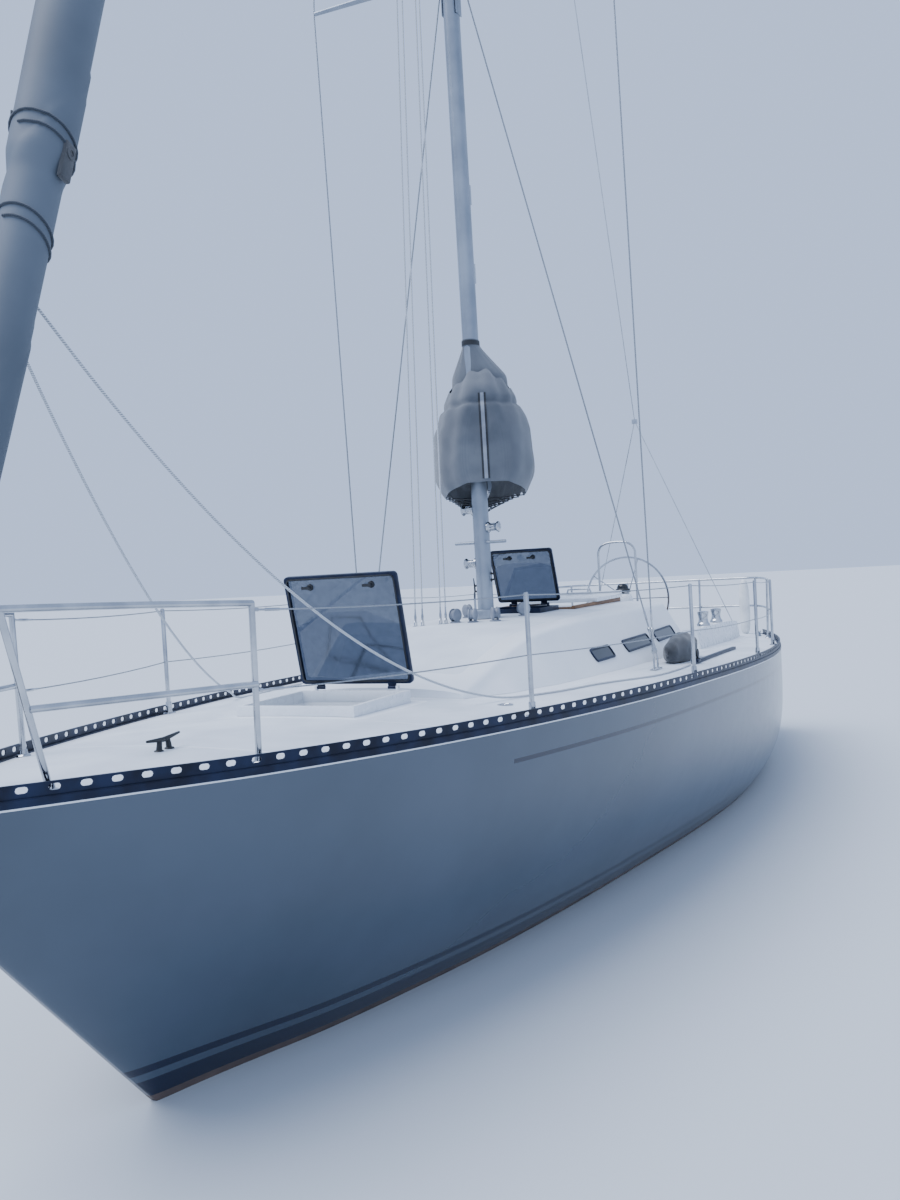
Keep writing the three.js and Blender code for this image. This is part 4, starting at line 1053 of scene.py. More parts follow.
def hatch(name, s0, s1, half, wall, top, lug_y, high, pane, open_degrees, look, slot):
    """A hatch: its coaming with a seal, and its framed acrylic lid with hinges and dogs."""
    axis = Vector((from_stem(s1 + wall + HINGE_AFT), 0, top + HINGE_UP))
    swing = Matrix.Translation(axis) @ Matrix.Rotation(-math.radians(open_degrees), 4, "Y")
    long, wide = s1 - s0 + 2 * wall + HINGE_AFT + 0.005, half + wall + 0.005
    lid = [plate(HINGE_RING, long, wide, 0.004, high - 0.004, 0.024, LID_RIM, 0.004),
           plate(HINGE_RING + 0.005, long - 0.005, wide - 0.005, high - 0.001, 0.004, 0.020, 0.010, 0.0015)]
    for sign in (1, -1):
        y = sign * lug_y
        lid.append(rod((0, y - sign * KNUCKLE, 0), (0, y, 0), HINGE_R, sides=20, edge=0.001))
        near, far = sorted((y - sign * KNUCKLE, y))
        lid.append(block((0.002, near, 0.001), (HINGE_RING + 0.022, far, 0.0085), 0.0015))
    keep(moved(joined(lid), swing), f"{name}_lid_frame", "navy_anodised", "acrylic", f"{name}_lid", body=name)
    pane_foot, lap = high - pane - 0.003, LID_RIM - 0.010
    glass = plate(HINGE_RING + lap, long - lap, wide - lap, pane_foot, pane, 0.020, edge=0.001)
    keep(moved(glass, swing), f"{name}_pane", "smoked_acrylic", "acrylic", body=name, angle=50)
    dogs = [plate(HINGE_RING + 0.012, long - 0.012, wide - 0.012, 0.001, 0.006, 0.030, 0.010, 0.002)]
    for sign in (1, -1):
        x, y = long - LID_RIM - 0.045, sign * (wide - 0.16)
        dogs.append(turned(DOG, (x, y, pane_foot), (0, 0, -1), 20))
        dogs.append(block((x - 0.008, y - 0.048, pane_foot - 0.025),
                          (x + 0.008, y + 0.010, pane_foot - 0.013), 0.004))
    keep(moved(joined(dogs), swing), f"{name}_dogs_and_seal", "black_nylon", "acrylic", body=name)
    coaming = bevelled(merged_copy(f"{name}_coaming"), 0.003, 2, 50)
    keep(coaming, f"{name}_coaming_ring", look, slot, f"{name}_coaming")
    pins = [rod((axis.x, sign * (lug_y - KNUCKLE - 0.004), axis.z), (axis.x, sign * (lug_y + 0.019), axis.z),
                0.0035, sides=12) for sign in (1, -1)]
    keep(joined(pins), f"{name}_hinge_pins", *STEEL)


class YACHT_OT_hatches(Operator):
    """Builds the two deck hatches round their openings"""
    bl_idname = "yacht.hatches"
    bl_label = "Hatches"

    def execute(self, context):
        for row in HATCHES:
            hatch(*row)
        return {"FINISHED"}


# Guards, stanchions and lifelines

PULPIT = {
    "rails": (((1.250, 0.612, 1.985), (0.800, 0.470, 2.010), (0.350, 0.330, 2.030), (0, 0.215, 2.040),
               (-0.180, 0.090, 2.045)),),
    "side rails": (((1.250, 0.615, 1.680), (0.850, 0.450, 1.690), (0.455, 0.288, 1.700)),),
    "legs": ((1.250, 0.600, 1.250, 0.612, 1.985), (0.560, 0.245, 0.330, 0.322, 2.030)),
}
PUSHPIT = {
    "rails": tuple(((9.330, 1.300 + d, z), (9.800, 1.190 + d, z), (10.130, 1.040 + d, z),
                    (10.230, 0.760 + d, z), (10.240, 0.300 + d, z)) for d, z in ((0, 1.735), (0.005, 1.425))),
    "side rails": (),
    "legs": ((9.330, 1.285, 9.330, 1.300, 1.735), (10.090, 1.060, 10.100, 1.062, 1.735),
             (10.190, 0.420, 10.238, 0.420, 1.735)),
}
FOOT_FLANGE = [(0, -0.010), (0.030, -0.010), (0.030, 0.005), (0.027, 0.009), (0.019, 0.012), (0.016, 0.030),
               (0, 0.030)]

# A stanchion's height, its lifelines' heights, its socket and the heads of its bolts
STANCHION, UPPER_LINE, LOWER_LINE = 0.61, 0.595, 0.300
SOCKET = [(0.0125, 0.004), (0.0175, 0.004), (0.0175, 0.066), (0.0165, 0.070), (0.0125, 0.070)]
BOLT_HEAD = [(0, 0), (0.005, 0), (0.004, 0.002), (0, 0.003)]
LINE_END = [(0, 0.0), (0.007, 0.002), (0.007, 0.020), (0.0045, 0.026), (0.0045, 0.050), (0.0065, 0.055),
            (0.0065, 0.120), (0.0045, 0.127), (0.0045, 0.165), (0, 0.168)]
LINE_SAG = 0.012


def guard(rows, radius):
    """A guard of bent tube, its legs standing in flanged feet."""
    pieces = []
    for points in rows["rails"]:
        port = [Vector((from_stem(s), y, z)) for s, y, z in points]
        starboard = [Vector((p.x, -p.y, p.z)) for p in reversed(port)]
        pieces.append(tube(eased(port + starboard, 0.035), radius, sides=16))
    for points in rows["side rails"]:
        rail = tube(eased([Vector((from_stem(s), y, z)) for s, y, z in points], 0.05), radius, sides=16)
        pieces.append(both_sides(rail))
    for s, y, s1, y1, z1 in rows["legs"]:
        foot = Vector((from_stem(s), y, deck_z(s, y)))
        leg = rod(foot, (from_stem(s1), y1, z1), radius, sides=16)
        flange = turned(FOOT_FLANGE, foot, steps=20)
        bpy.ops.object.select_all(action="DESELECT")
        bpy.ops.mesh.primitive_uv_sphere_add(segments=16, ring_count=8, radius=radius * 1.02,
                                             location=(from_stem(s1), y1, z1))
        ball = settle(bpy.context.object)
        pieces.append(both_sides(joined([leg, flange, ball])))
    return joined(pieces)


class YACHT_OT_guards(Operator):
    """Bends the pulpit and pushpit, stands the stanchions and strings the lifelines"""
    bl_idname = "yacht.guards"
    bl_label = "Guards and lifelines"

    def execute(self, context):
        rails = context.scene.yacht_rails
        keep(guard(PULPIT, rails.tube), "pulpit_tubes", *STEEL, "pulpit")
        keep(guard(PUSHPIT, rails.tube), "pushpit_tubes", *STEEL, "pushpit")
        for sign, side in SIDES:
            upper = [Vector((from_stem(1.25), sign * 0.612, 1.960))]
            lower = [Vector((from_stem(1.25), sign * 0.608, 1.655))]
            for number in range(1, 5):
                low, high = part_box(f"stanchion_{side}_{number}")
                x, y, top = (low[0] + high[0]) / 2, (low[1] + high[1]) / 2, high[2]
                foot = top - STANCHION
                post = [(0, 0.03), (rails.tube, 0.03), (rails.tube, 0.598), (rails.tube * 0.8, 0.607),
                        (0, STANCHION)]
                pieces = [
                    turned(post, (x, y, foot), steps=20),
                    turned(SOCKET, (x, y, foot), steps=20),
                    block((x - 0.032, y - 0.026, foot - 0.006), (x + 0.032, y + 0.026, foot + 0.008), 0.004),
                ]
                for dx, dy in ((0.024, 0.018), (-0.024, 0.018), (0.024, -0.018), (-0.024, -0.018)):
                    pieces.append(turned(BOLT_HEAD, (x + dx, y + dy, foot + 0.008), steps=10))
                for height in (UPPER_LINE, LOWER_LINE):
                    pieces.append(rod((x - 0.0155, y, foot + height), (x + 0.0155, y, foot + height), 0.0055,
                                      sides=14, edge=0.001))
                keep(joined(pieces), f"stanchion_{side}_{number}_post", *STEEL, f"stanchion_{side}_{number}")
                upper.append(Vector((x, y, foot + UPPER_LINE)))
                lower.append(Vector((x, y, foot + LOWER_LINE)))
            upper.append(Vector((from_stem(9.33), sign * 1.300, 1.712)))
            lower.append(Vector((from_stem(9.33), sign * 1.300, 1.412)))
            ends = []
            for level, line in (("upper", upper), ("lower", lower)):
                places = [line[0]]
                for a, b in zip(line, line[1:]):
                    for k in range(1, 7):
                        place = a.lerp(b, k / 6)
                        place.z -= LINE_SAG * (1 - (k / 3 - 1) ** 2)
                        places.append(place)
                keep(rope(places, rails.lifeline, 8), f"lifeline_{side}_{level}", "stainless_wire", "steel",
                     angle=60)
                for end, inner in ((places[0], places[1]), (places[-1], places[-2])):
                    way = (inner - end).normalized()
                    ends.append(turned(LINE_END, end + way * 0.008, way, 12))
            keep(joined(ends), f"lifeline_ends_{side}", *STEEL)
        return {"FINISHED"}


# Mast and standing rigging

WINCH = [(0, 0), (0.036, 0), (0.036, 0.010), (0.028, 0.016), (0.024, 0.030), (0.023, 0.050), (0.027, 0.064),
         (0.034, 0.070), (0.036, 0.076), (0.033, 0.082), (0.016, 0.086), (0.012, 0.083), (0, 0.083)]


def drum_winch(scale, base, way):
    """A winch: a waisted drum with gripping ribs on a flange."""
    body = turned(scaled(WINCH, scale), base, way, 28)
    turn = Matrix.Translation(base) @ Vector(way).to_track_quat("Z", "Y").to_matrix().to_4x4()
    ribs = []
    for k in range(12):
        angle = k * math.tau / 12
        rib = block((0.0225 * scale, -0.0022 * scale, 0.020 * scale),
                    (0.0262 * scale, 0.0022 * scale, 0.056 * scale), 0.001 * scale, 1)
        ribs.append(moved(rib, turn @ Matrix.Rotation(angle, 4, "Z")))
    return joined([body, *ribs])


class YACHT_OT_mast(Operator):
    """Steps the mast with its track, winches, collar, spreaders, masthead and gooseneck"""
    bl_idname = "yacht.mast"
    bl_label = "Mast"

    def execute(self, context):
        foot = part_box("mast")[0][2]
        section = rod((0, 0, foot), (0, 0, MAST_TOP), 0.5, sides=48)
        moved(section, Matrix.Translation((MAST_X, 0, 0)) @ Matrix.Diagonal((MAST_LONG, MAST_WIDE, 1, 1)))
        bar = rod((MAST_X + 0.03, -0.195, 2.225), (MAST_X + 0.03, 0.195, 2.225), 0.011, sides=16, edge=0.003)
        tangs = [block((MAST_X - 0.045, y - 0.004, 5.9), (MAST_X + 0.045, y + 0.004, 6.35), 0.003)
                 for y in (-0.054, 0.054)]
        keep(joined([section, bar, *tangs]), "mast_section", *SPAR, "mast")
        aft = MAST_X - MAST_LONG / 2
        track = block((aft - 0.012, -0.014, 2.86), (aft + 0.004, 0.014, 14.9), 0.003)
        keep(track, "mast_track", *SPAR)
        winches = []
        for sign, z in ((-1, 2.46), (1, 2.33), (-1, 2.08)):
            winches.append(drum_winch(1.08, (MAST_X, sign * (MAST_WIDE / 2 - 0.004), z), (0, sign, 0)))
        keep(joined(winches), "mast_winches", *STEEL)
        collar = bevelled(merged_copy("mast_collar"), 0.006, 2, 50)
        keep(collar, "mast_collar_ring", *SPAR, "mast_collar")
        for level in ("lower", "upper"):
            keep(refined(f"spreaders_{level}", 60, 1), f"spreaders_{level}_arms", *SPAR, f"spreaders_{level}")
        keep(bevelled(merged_copy("masthead"), 0.005, 2, 50), "masthead_casting", *SPAR, "masthead")
        keep(bevelled(merged_copy("gooseneck"), 0.003, 2, 50), "gooseneck_fitting", *STEEL, "gooseneck")
        return {"FINISHED"}


TURNBUCKLE = [(0, 0), (0.006, 0), (0.006, 0.030), (0.013, 0.040), (0.013, 0.056), (0.009, 0.066),
              (0.009, 0.180), (0.013, 0.190), (0.013, 0.206), (0.006, 0.214), (0.006, 0.262),
              (0.008, 0.268), (0.008, 0.330), (0.005, 0.340), (0, 0.341)]


class YACHT_OT_rigging(Operator):
    """Strings the shrouds with their turnbuckles, and the forestay and backstay"""
    bl_idname = "yacht.rigging"
    bl_label = "Standing rigging"

    def execute(self, context):
        rig = context.scene.yacht_rig
        for sign, side in SIDES:
            foot = deck_z(5.2, 1.14) + 0.0765
            tips = [Vector((MAST_X - sweep, sign * (half + 0.008), z + 0.04))
                    for z, half, sweep in ((6.2, 1.13, 0.06), (10.4, 0.86, 0.05))]
            cap = [Vector((from_stem(5.15), sign * 1.14, foot)), *tips,
                   Vector((MAST_X - 0.02, sign * 0.080, MAST_TOP - 0.062))]
            low = [Vector((from_stem(5.25), sign * 1.14, foot)),
                   Vector((MAST_X - 0.03, sign * 0.082, 6.1445))]
            for name, line in (("cap_shroud", cap), ("lower_shroud", low)):
                keep(rope(line, rig.wire, 10), f"{name}_{side}_wire", "stainless_wire", "steel",
                     f"{name}_{side}", angle=60)
                way = (line[1] - line[0]).normalized()
                screw = turned(TURNBUCKLE, line[0] + way * 0.004, way, 18)
                keep(screw, f"{name}_{side}_turnbuckle", *STEEL)
            plate_piece = bevelled(merged_copy(f"chainplate_{side}"), 0.002, 2, 50)
            keep(plate_piece, f"chainplate_{side}_fitting", *STEEL, f"chainplate_{side}")
        keep(refined("forestay", 60, 1), "forestay_foil", *SPAR, "forestay")
        keep(refined("backstay", 60, 1), "backstay_wire", *STEEL, "backstay")
        return {"FINISHED"}


# Furled genoa

STAY_FOOT = Vector((from_stem(0.22), 0, 1.4556))
STAY_HEAD = Vector((MAST_X + 0.15, 0, MAST_TOP - 0.094))
STAY_WAY = (STAY_HEAD - STAY_FOOT).normalized()
PORT = Vector((0, 1, 0))
STAY_FORE = PORT.cross(STAY_WAY).normalized()
# The roll's places up the stay and its radius there
ROLLED = ((0.332, 0.040), (0.7, 0.076), (1.6, 0.098), (2.24, 0.104), (2.33, 0.124), (3.4, 0.124),
          (6.0, 0.104), (9.0, 0.078), (12.0, 0.053), (13.3, 0.034))
# Turns of the sheets round it: first place up the stay, count, pitch
WRAPS = ((2.36, 1.9, 0.050), (1.98, 1.9, 0.050))
# The clew's place on it, and the profiles of its eyelet and of the furler
CLEW_ROUND, CLEW_ALONG, CLEW_OUT = 1.75, 2.31, 0.121
EYELET = [(0.012, 0.0), (0.024, 0.0), (0.027, 0.008), (0.024, 0.016), (0.012, 0.016), (0.010, 0.008),
          (0.012, 0.0)]
FURLER = [(0.016, 0.09), (0.092, 0.09), (0.095, 0.093), (0.095, 0.103), (0.092, 0.106), (0.062, 0.110),
          (0.060, 0.166), (0.092, 0.170), (0.095, 0.173), (0.095, 0.183), (0.092, 0.186), (0.036, 0.190),
          (0.034, 0.196), (0.034, 0.326), (0.030, 0.330), (0.016, 0.330)]


def off_stay(round_it, along, out):
    """A place along the stay and out from it, round_it radians from dead ahead, and the way out."""
    way = STAY_FORE * math.cos(round_it) + PORT * math.sin(round_it)
    return STAY_FOOT + STAY_WAY * along + way * out, way


def wound(round_it, along, wrap):
    """The furled sail's radius round and along the stay: the cloth's edge steps down once a turn."""
    table = np.array(ROLLED)
    radius = float(np.interp(along, table[:, 0], table[:, 1]))
    turn = (round_it / math.tau - along / wrap) % 1.0
    second = (round_it / math.tau - along / (wrap * 0.83) + 0.37) % 1.0
    step = 0.045 * (1 - turn) + 0.022 * (1 - second)
    wrinkle = 0.018 * noise.noise(Vector((math.cos(round_it) * 1.3, math.sin(round_it) * 1.3, along * 1.6)))
    return radius * (0.93 + step + wrinkle)


class YACHT_OT_genoa(Operator):
    """Rolls the genoa round its stay, over the furler's drum"""
    bl_idname = "yacht.genoa"
    bl_label = "Furled genoa"

    def execute(self, context):
        wrap = context.scene.yacht_sails.wrap_pitch
        rows = []
        along = ROLLED[0][0]
        while along < ROLLED[-1][0]:
            rows.append(along)
            along += 0.022 if along < 4 else 0.05
        rows.append(ROLLED[-1][0])
        rings = []
        for along in rows:
            angles = [k * math.tau / 48 for k in range(48)]
            rings.append([off_stay(a, along, wound(a, along, wrap))[0] for a in angles])
        roll = lofted("roll", rings, lambda k, i: (k * 0.7 / 48, rows[i]))
        keep(roll, "genoa_roll", "sailcloth", "sailcloth", "furled_genoa", angle=50)
        turns = []
        for start, count, pitch in WRAPS:
            places = []
            for k in range(int(count * 28) + 1):
                angle = k / 28 * math.tau
                along = start + pitch * k / 28 + 0.05 * math.cos(angle)
                out = wound(angle % math.tau, along, wrap) + 0.004
                places.append(off_stay(angle, along, out)[0])
            turns.append(rope(places, 0.0055, 8))
        keep(joined(turns), "genoa_sheet_turns", "dark_rope", "sailcloth", angle=60)
        place, out = off_stay(CLEW_ROUND, CLEW_ALONG, CLEW_OUT)
        eyelet = turned(EYELET, steps=20)
        clew = [set_on(block((-0.075, -0.030, -0.010), (0.075, 0.030, 0.012), 0.006), place, STAY_WAY, out),
                set_on(eyelet, place + STAY_WAY * 0.035, STAY_WAY, out)]
        keep(joined(clew), "genoa_clew", "dark_canvas", "sailcloth")
        keep(turned(FURLER, STAY_FOOT, STAY_WAY, 36), "furler_drum_body", "black_nylon", "dark_alloy",
             "furler_drum")
        return {"FINISHED"}


# Boom and covered mainsail

PIVOT = Vector((MAST_X - MAST_LONG / 2 - 0.052, 0, 2.640))
ON_BOOM = Matrix.Translation(PIVOT) @ Matrix.Rotation(math.radians(24), 4, "Z")    # out to starboard
CLOTH = 0.003
BOOM_TOP, BOOM_UNDER = 0.070, -0.070
SWING_ROOM = 0.218             # radius about the pivot that the cover leaves free for the mast
COVER = (
    # distance aft of the pivot, half width, height above the boom's top, depth below it
    (-0.334, 0.165, 0.560, 0.070), (-0.322, 0.195, 0.600, 0.078), (-0.290, 0.235, 0.650, 0.090),
    (-0.150, 0.336, 0.790, 0.115), (0.000, 0.358, 0.820, 0.135), (0.150, 0.374, 0.826, 0.145),
    (0.600, 0.352, 0.665, 0.135), (1.050, 0.327, 0.595, 0.120), (1.500, 0.302, 0.533, 0.110),
    (2.600, 0.240, 0.400, 0.090), (3.500, 0.170, 0.280, 0.065), (4.000, 0.115, 0.160, 0.062),
)
TIE_FROM, TIE_PITCH = 0.35, 0.46
# The cover's section: share of the half width and of the height, or of the depth below the boom's top
SECTION = ((0.80, -1), (0.95, -0.40), (1.0, 0.10), (0.985, 0.27), (0.925, 0.43), (0.78, 0.60), (0.59, 0.76),
           (0.40, 0.90), (0.22, 0.985), (0.08, 1.0))


def cover_shell():
    """The cover as a sheet from hem to hem over the sail, closed by its front panel, and its UV map."""
    table = np.array(COVER)
    rows = []
    for low, high in zip(table, table[1:]):
        count = max(1, round((high[0] - low[0]) / 0.16))
        rows.extend(low + (high - low) * k / count for k in range(count))
    rows.append(table[-1])
    skin = bmesh.new()
    layer = skin.loops.layers.uv.new("UVMap")
    rings, spans = [], []
    for d, half, high, low in rows:
        points = []
        for sign in (1, -1):
            side = [(sign * share * half, z * (high if z > 0 else low)) for share, z in SECTION]
            points.extend(side if sign > 0 else side[::-1])
        rings.append([skin.verts.new((-d, y, BOOM_TOP + z)) for y, z in points])
        steps = [0.0]
        for (y0, z0), (y1, z1) in zip(points, points[1:]):
            steps.append(steps[-1] + math.hypot(y1 - y0, z1 - z0))
        spans.append(steps)
    count = len(rings[0])
    for i in range(len(rings) - 1):
        for k in range(count - 1):
            face = skin.faces.new((rings[i][k], rings[i][k + 1], rings[i + 1][k + 1], rings[i + 1][k]))
            for loop, (a, b) in zip(face.loops, ((i, k), (i, k + 1), (i + 1, k + 1), (i + 1, k))):
                loop[layer].uv = (spans[a][b], rows[a][0])
    for ring in (rings[0], rings[-1]):
        for k in range(count // 2 - 1):
            face = skin.faces.new((ring[k], ring[k + 1], ring[count - 2 - k], ring[count - 1 - k]))
            for loop in face.loops:
                loop[layer].uv = (loop.vert.co.y, loop.vert.co.z)
    bmesh.ops.recalc_face_normals(skin, faces=skin.faces)
    return rounded(skinned("cover", skin), 3)


def draped(cover, sails):
    """Lays folds into the cover: pleats gathered to the mast at the front with a crease round them, slack
    that sags between the ties along the sides, and small creases all over."""
    for vertex, normal in [(v, v.normal.copy()) for v in cover.data.vertices]:
        x, y, z = vertex.co
        d, height = -x, z - BOOM_TOP
        front = max(0.0, min(1.0, (0.15 - d) / 0.35))
        round_it = math.atan2(y, x - 0.05)
        lift = max(0.0, min(1.0, (height + 0.15) / 0.9))
        drift = noise.noise(Vector((x * 1.5, y * 1.5, z * 1.2)))
        pleat = math.sin(round_it * sails.folds + 2.5 * drift) * front * (0.35 + 0.65 * lift)
        sag = noise.noise(Vector((d * 1.7 + 4 * height * (1 if y > 0 else -1), height * 8.0,
                                  math.copysign(3, y))))
        crease = noise.noise(Vector((x * 9, y * 9, z * 13)))
        vertex.co += normal * (sails.fold_depth * (0.55 * pleat + 0.9 * sag * (1 - 0.6 * front))
                               + 0.004 * crease)
        notch = math.exp(-((height - 0.50 - 0.04 * drift) / 0.022) ** 2) * min(1.0, max(0.0, (0.9 - d) / 0.5))
        vertex.co -= normal * 0.020 * notch
        tie = 0.5 - 0.5 * math.cos(math.tau * (d - TIE_FROM) / TIE_PITCH)
        if height < -0.02 and d > 0.2:
            vertex.co.z += 0.035 * tie * min(1.0, -height / 0.08)
    return cover


def strip_on(cover, half, lift):
    """A strip laid down the middle of the cover's front, half wide to each side, lifted off it."""
    bpy.ops.object.select_all(action="DESELECT")
    foot, head = BOOM_TOP - COVER[0][3] + 0.02, BOOM_TOP + COVER[0][2] - 0.02
    bpy.ops.mesh.primitive_grid_add(x_subdivisions=60, y_subdivisions=2, size=1,
                                    location=(1, 0, (foot + head) / 2), rotation=(0, math.pi / 2, 0))
    strip = bpy.context.object
    strip.scale = (head - foot, 2 * half, 1)
    settle(strip)
    changed(strip, "SHRINKWRAP", target=cover, wrap_method="PROJECT", use_project_x=True,
            use_positive_direction=False, use_negative_direction=True, offset=lift)
    return walled(strip, CLOTH)


class YACHT_OT_mainsail(Operator):
    """Shapes the boom and drapes the cover over the mainsail stowed along it"""
    bl_idname = "yacht.mainsail"
    bl_label = "Boom and mainsail"

    def execute(self, context):
        keep(refined("boom", 60, 1), "boom_spar", *SPAR, "boom", body="boom")
        cover = walled(draped(cover_shell(), context.scene.yacht_sails), CLOTH)
        room = rod((0, 0, 0.45), (0, 0, 1.6), SWING_ROOM + 0.004, sides=64)
        changed(cover, "BOOLEAN", object=room, operation="DIFFERENCE", solver="EXACT")
        bpy.data.objects.remove(room)
        strips = [(strip_on(cover, half, lift), name, look)
                  for half, lift, name, look in ((0.026, 0.004, "cover_zip_tape", "black_nylon"),
                                                 (0.012, 0.007, "cover_zip", "grey_nylon"))]
        for strip, name, look in strips:
            keep(moved(strip, ON_BOOM), name, look, "sailcloth", body="boom")
        keep(moved(cover, ON_BOOM), "mainsail_cover", "sail_cover_canvas", "sailcloth", "mainsail_bundle",
             body="boom", angle=60)
        table = np.array(COVER)
        ties, webs = [], []
        for d in np.arange(TIE_FROM, 3.9, TIE_PITCH):
            half, low = (float(np.interp(d, table[:, 0], table[:, k])) for k in (1, 3))
            z = BOOM_TOP - low + 0.004
            ends = [Vector((-d, sign * 0.80 * half, z)) for sign in (1, -1)]
            under_boom = [Vector((-d, sign * 0.05, min(z, BOOM_UNDER) - 0.008)) for sign in (1, -1)]
            ties.append(tube([ends[0], under_boom[0], under_boom[1], ends[1]], 0.004, sides=8))
            for end in ends:
                webs.append(block(end - Vector((0.011, 0.004, 0.006)), end + Vector((0.011, 0.004, 0.022)),
                                  0.002))
        keep(moved(joined(ties), ON_BOOM), "cover_ties", "black_nylon", "sailcloth", body="boom", angle=60)
        keep(moved(joined(webs), ON_BOOM), "cover_hooks", "grey_nylon", "sailcloth", body="boom")
        return {"FINISHED"}


# The hood: heights above the boom's top, and how far it has narrowed from round the pivot to the mast
HOOD = ((0.50, 0.0), (0.68, 0.0), (0.71, 0.07), (0.80, 0.50), (0.89, 0.93), (0.91, 1.0), (0.94, 1.0))


class YACHT_OT_cover_hood(Operator):
    """Laces the cover's hood to the mast, clear of the cover as the boom swings"""
    bl_idname = "yacht.cover_hood"
    bl_label = "Cover's hood"

    def execute(self, context):
        radius, ahead = SWING_ROOM - 0.012, MAST_X - PIVOT.x
        rings, sides = [], 64
        for height, narrow in HOOD:
            ring = []
            for angle in (k * math.tau / sides for k in range(sides)):
                wide = Vector((radius * math.cos(angle), radius * math.sin(angle)))
                tight = Vector((ahead + (MAST_LONG / 2 + 0.004) * math.cos(angle),
                                (MAST_WIDE / 2 + 0.004) * math.sin(angle)))
                fold = 0.006 * math.sin(9 * angle + 5 * height) * math.sin(math.pi * min(1, narrow))
                place = wide.lerp(tight, narrow)
                place -= (place - Vector((ahead, 0))).normalized() * (0.006 * (narrow < 1) + abs(fold))
                ring.append((PIVOT.x + place.x, place.y, PIVOT.z + BOOM_TOP + height))
            rings.append(ring)
        hood = lofted("hood", rings, lambda k, i: (k * 1.2 / sides, HOOD[i][0]), capped=False)
        changed(hood, "SUBSURF", levels=2)
        walled(hood, 0.0025)
        keep(hood, "cover_hood", "sail_cover_canvas", "sailcloth", angle=60)
        z = PIVOT.z + BOOM_TOP + HOOD[-1][0] - 0.024
        strap = rod((0, 0, z - 0.016), (0, 0, z + 0.016), 1.0, sides=48)
        moved(strap, Matrix.Translation((MAST_X, 0, 0))
              @ Matrix.Diagonal((MAST_LONG / 2 + 0.0075, MAST_WIDE / 2 + 0.0075, 1, 1)))
        keep(strap, "hood_strap", "black_nylon", "sailcloth")
        return {"FINISHED"}


# Gear on the deck and roof

LOOSE_HALYARDS = ((4.60, -0.390), (4.60, -0.335), (4.62, -0.205), (4.62, -0.165))   # feet: s, y
LEAD_BLOCKS = ((4.66, -0.110), (4.64, 0.030), (4.70, 0.170), (5.12, 0.220), (5.12, -0.220))
SIDE_LIGHTS, LIGHT_HEIGHTS = ((4.80, 5.16), (5.46, 6.10), (6.30, 6.94)), (1.372, 1.460)
SHACKLE = [(0, 0), (0.008, 0.002), (0.009, 0.030), (0.006, 0.050), (0.005, 0.085), (0, 0.088)]


def side_light(s0, s1, sign, ring=False):
    """A pane, or the ring round it, laid on the side of the coachroof."""
    low, high = LIGHT_HEIGHTS
    bpy.ops.object.select_all(action="DESELECT")
    bpy.ops.mesh.primitive_plane_add(size=1, rotation=(sign * -math.pi / 2, 0, 0),
                                     location=(from_stem((s0 + s1) / 2), sign * 1.4, (low + high) / 2))
    piece = bpy.context.object
    piece.scale = (s1 - s0, high - low, 1)
    settle(piece)
    bpy.ops.object.mode_set(mode="EDIT")
    bpy.ops.mesh.select_all(action="SELECT")
    bpy.ops.mesh.bevel(offset=0.028, segments=5, affect="VERTICES")
    bpy.ops.mesh.select_all(action="SELECT")
    bpy.ops.mesh.inset(thickness=0.013)
    if ring:
        bpy.ops.mesh.delete(type="FACE")
    bpy.ops.object.mode_set(mode="OBJECT")
    changed(piece, "SHRINKWRAP", target=bpy.data.objects["coachroof_moulding"], wrap_method="PROJECT",
            use_project_y=True, use_positive_direction=True, use_negative_direction=True)
    return bevelled(walled(piece, *((0.016, 0.4) if ring else (0.010, 0.2))), 0.0015, 2, 50)


class YACHT_OT_roof_gear(Operator):
    """Fits the side lights, the lead blocks round the mast, the loose halyards and the slide's handle"""
    bl_idname = "yacht.roof_gear"
    bl_label = "Roof gear"

    def execute(self, context):
        rig = context.scene.yacht_rig
        panes, rings = [], []
        for s0, s1 in SIDE_LIGHTS:
            for sign in (1, -1):
                panes.append(side_light(s0, s1, sign))
                rings.append(side_light(s0, s1, sign, ring=True))
        keep(joined(panes), "side_light_panes", "dark_glazing", "roof")
        keep(joined(rings), "side_light_rings", "navy_anodised", "roof")
        blocks, eyes, ropes, shackles = [], [], [], []
        for s, y in LEAD_BLOCKS:
            place = seat("coachroof_moulding", s, y, 1.9)
            blocks.append(pulley(0.095, place, (MAST_X - place[0], -y, 0)))
        for s, y in LOOSE_HALYARDS:
            x, y, z = seat("coachroof_moulding", s, y, 1.9)
            eyes.append(pad_eye(0.055, (x, y, z)))
            foot, head = Vector((x, y, z + 0.046)), Vector((MAST_X + 0.13, 0.12 * y, MAST_TOP - 0.10))
            way = (head - foot).normalized()
            shackles.append(turned(SHACKLE, foot - way * 0.008, way, 14))
            ropes.append(rope([foot + way * (0.075 + k * 0.9) for k in range(15)] + [head], rig.halyard, 8))
        keep(joined(blocks), "roof_lead_blocks", "grey_nylon", "dark_alloy")
        keep(joined(eyes + shackles), "roof_pad_eyes", *STEEL)
        keep(joined(ropes), "loose_halyards", "braided_rope", "spar", angle=60)
        low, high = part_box("companionway_slide")
        grip = tube([(low[0] + 0.05, y, high[2] + rise) for y, rise in
                     ((-0.11, -0.004), (-0.10, 0.026), (0.10, 0.026), (0.11, -0.004))], 0.008)
        keep(grip, "slide_handle", "polished_stainless", "deck", body="slide")
        return {"FINISHED"}


FILLER = [(0, -0.004), (0.043, -0.004), (0.043, 0.003), (0.039, 0.005), (0.030, 0.005), (0.028, 0.003),
          (0.010, 0.003), (0.008, 0.005), (0, 0.005)]


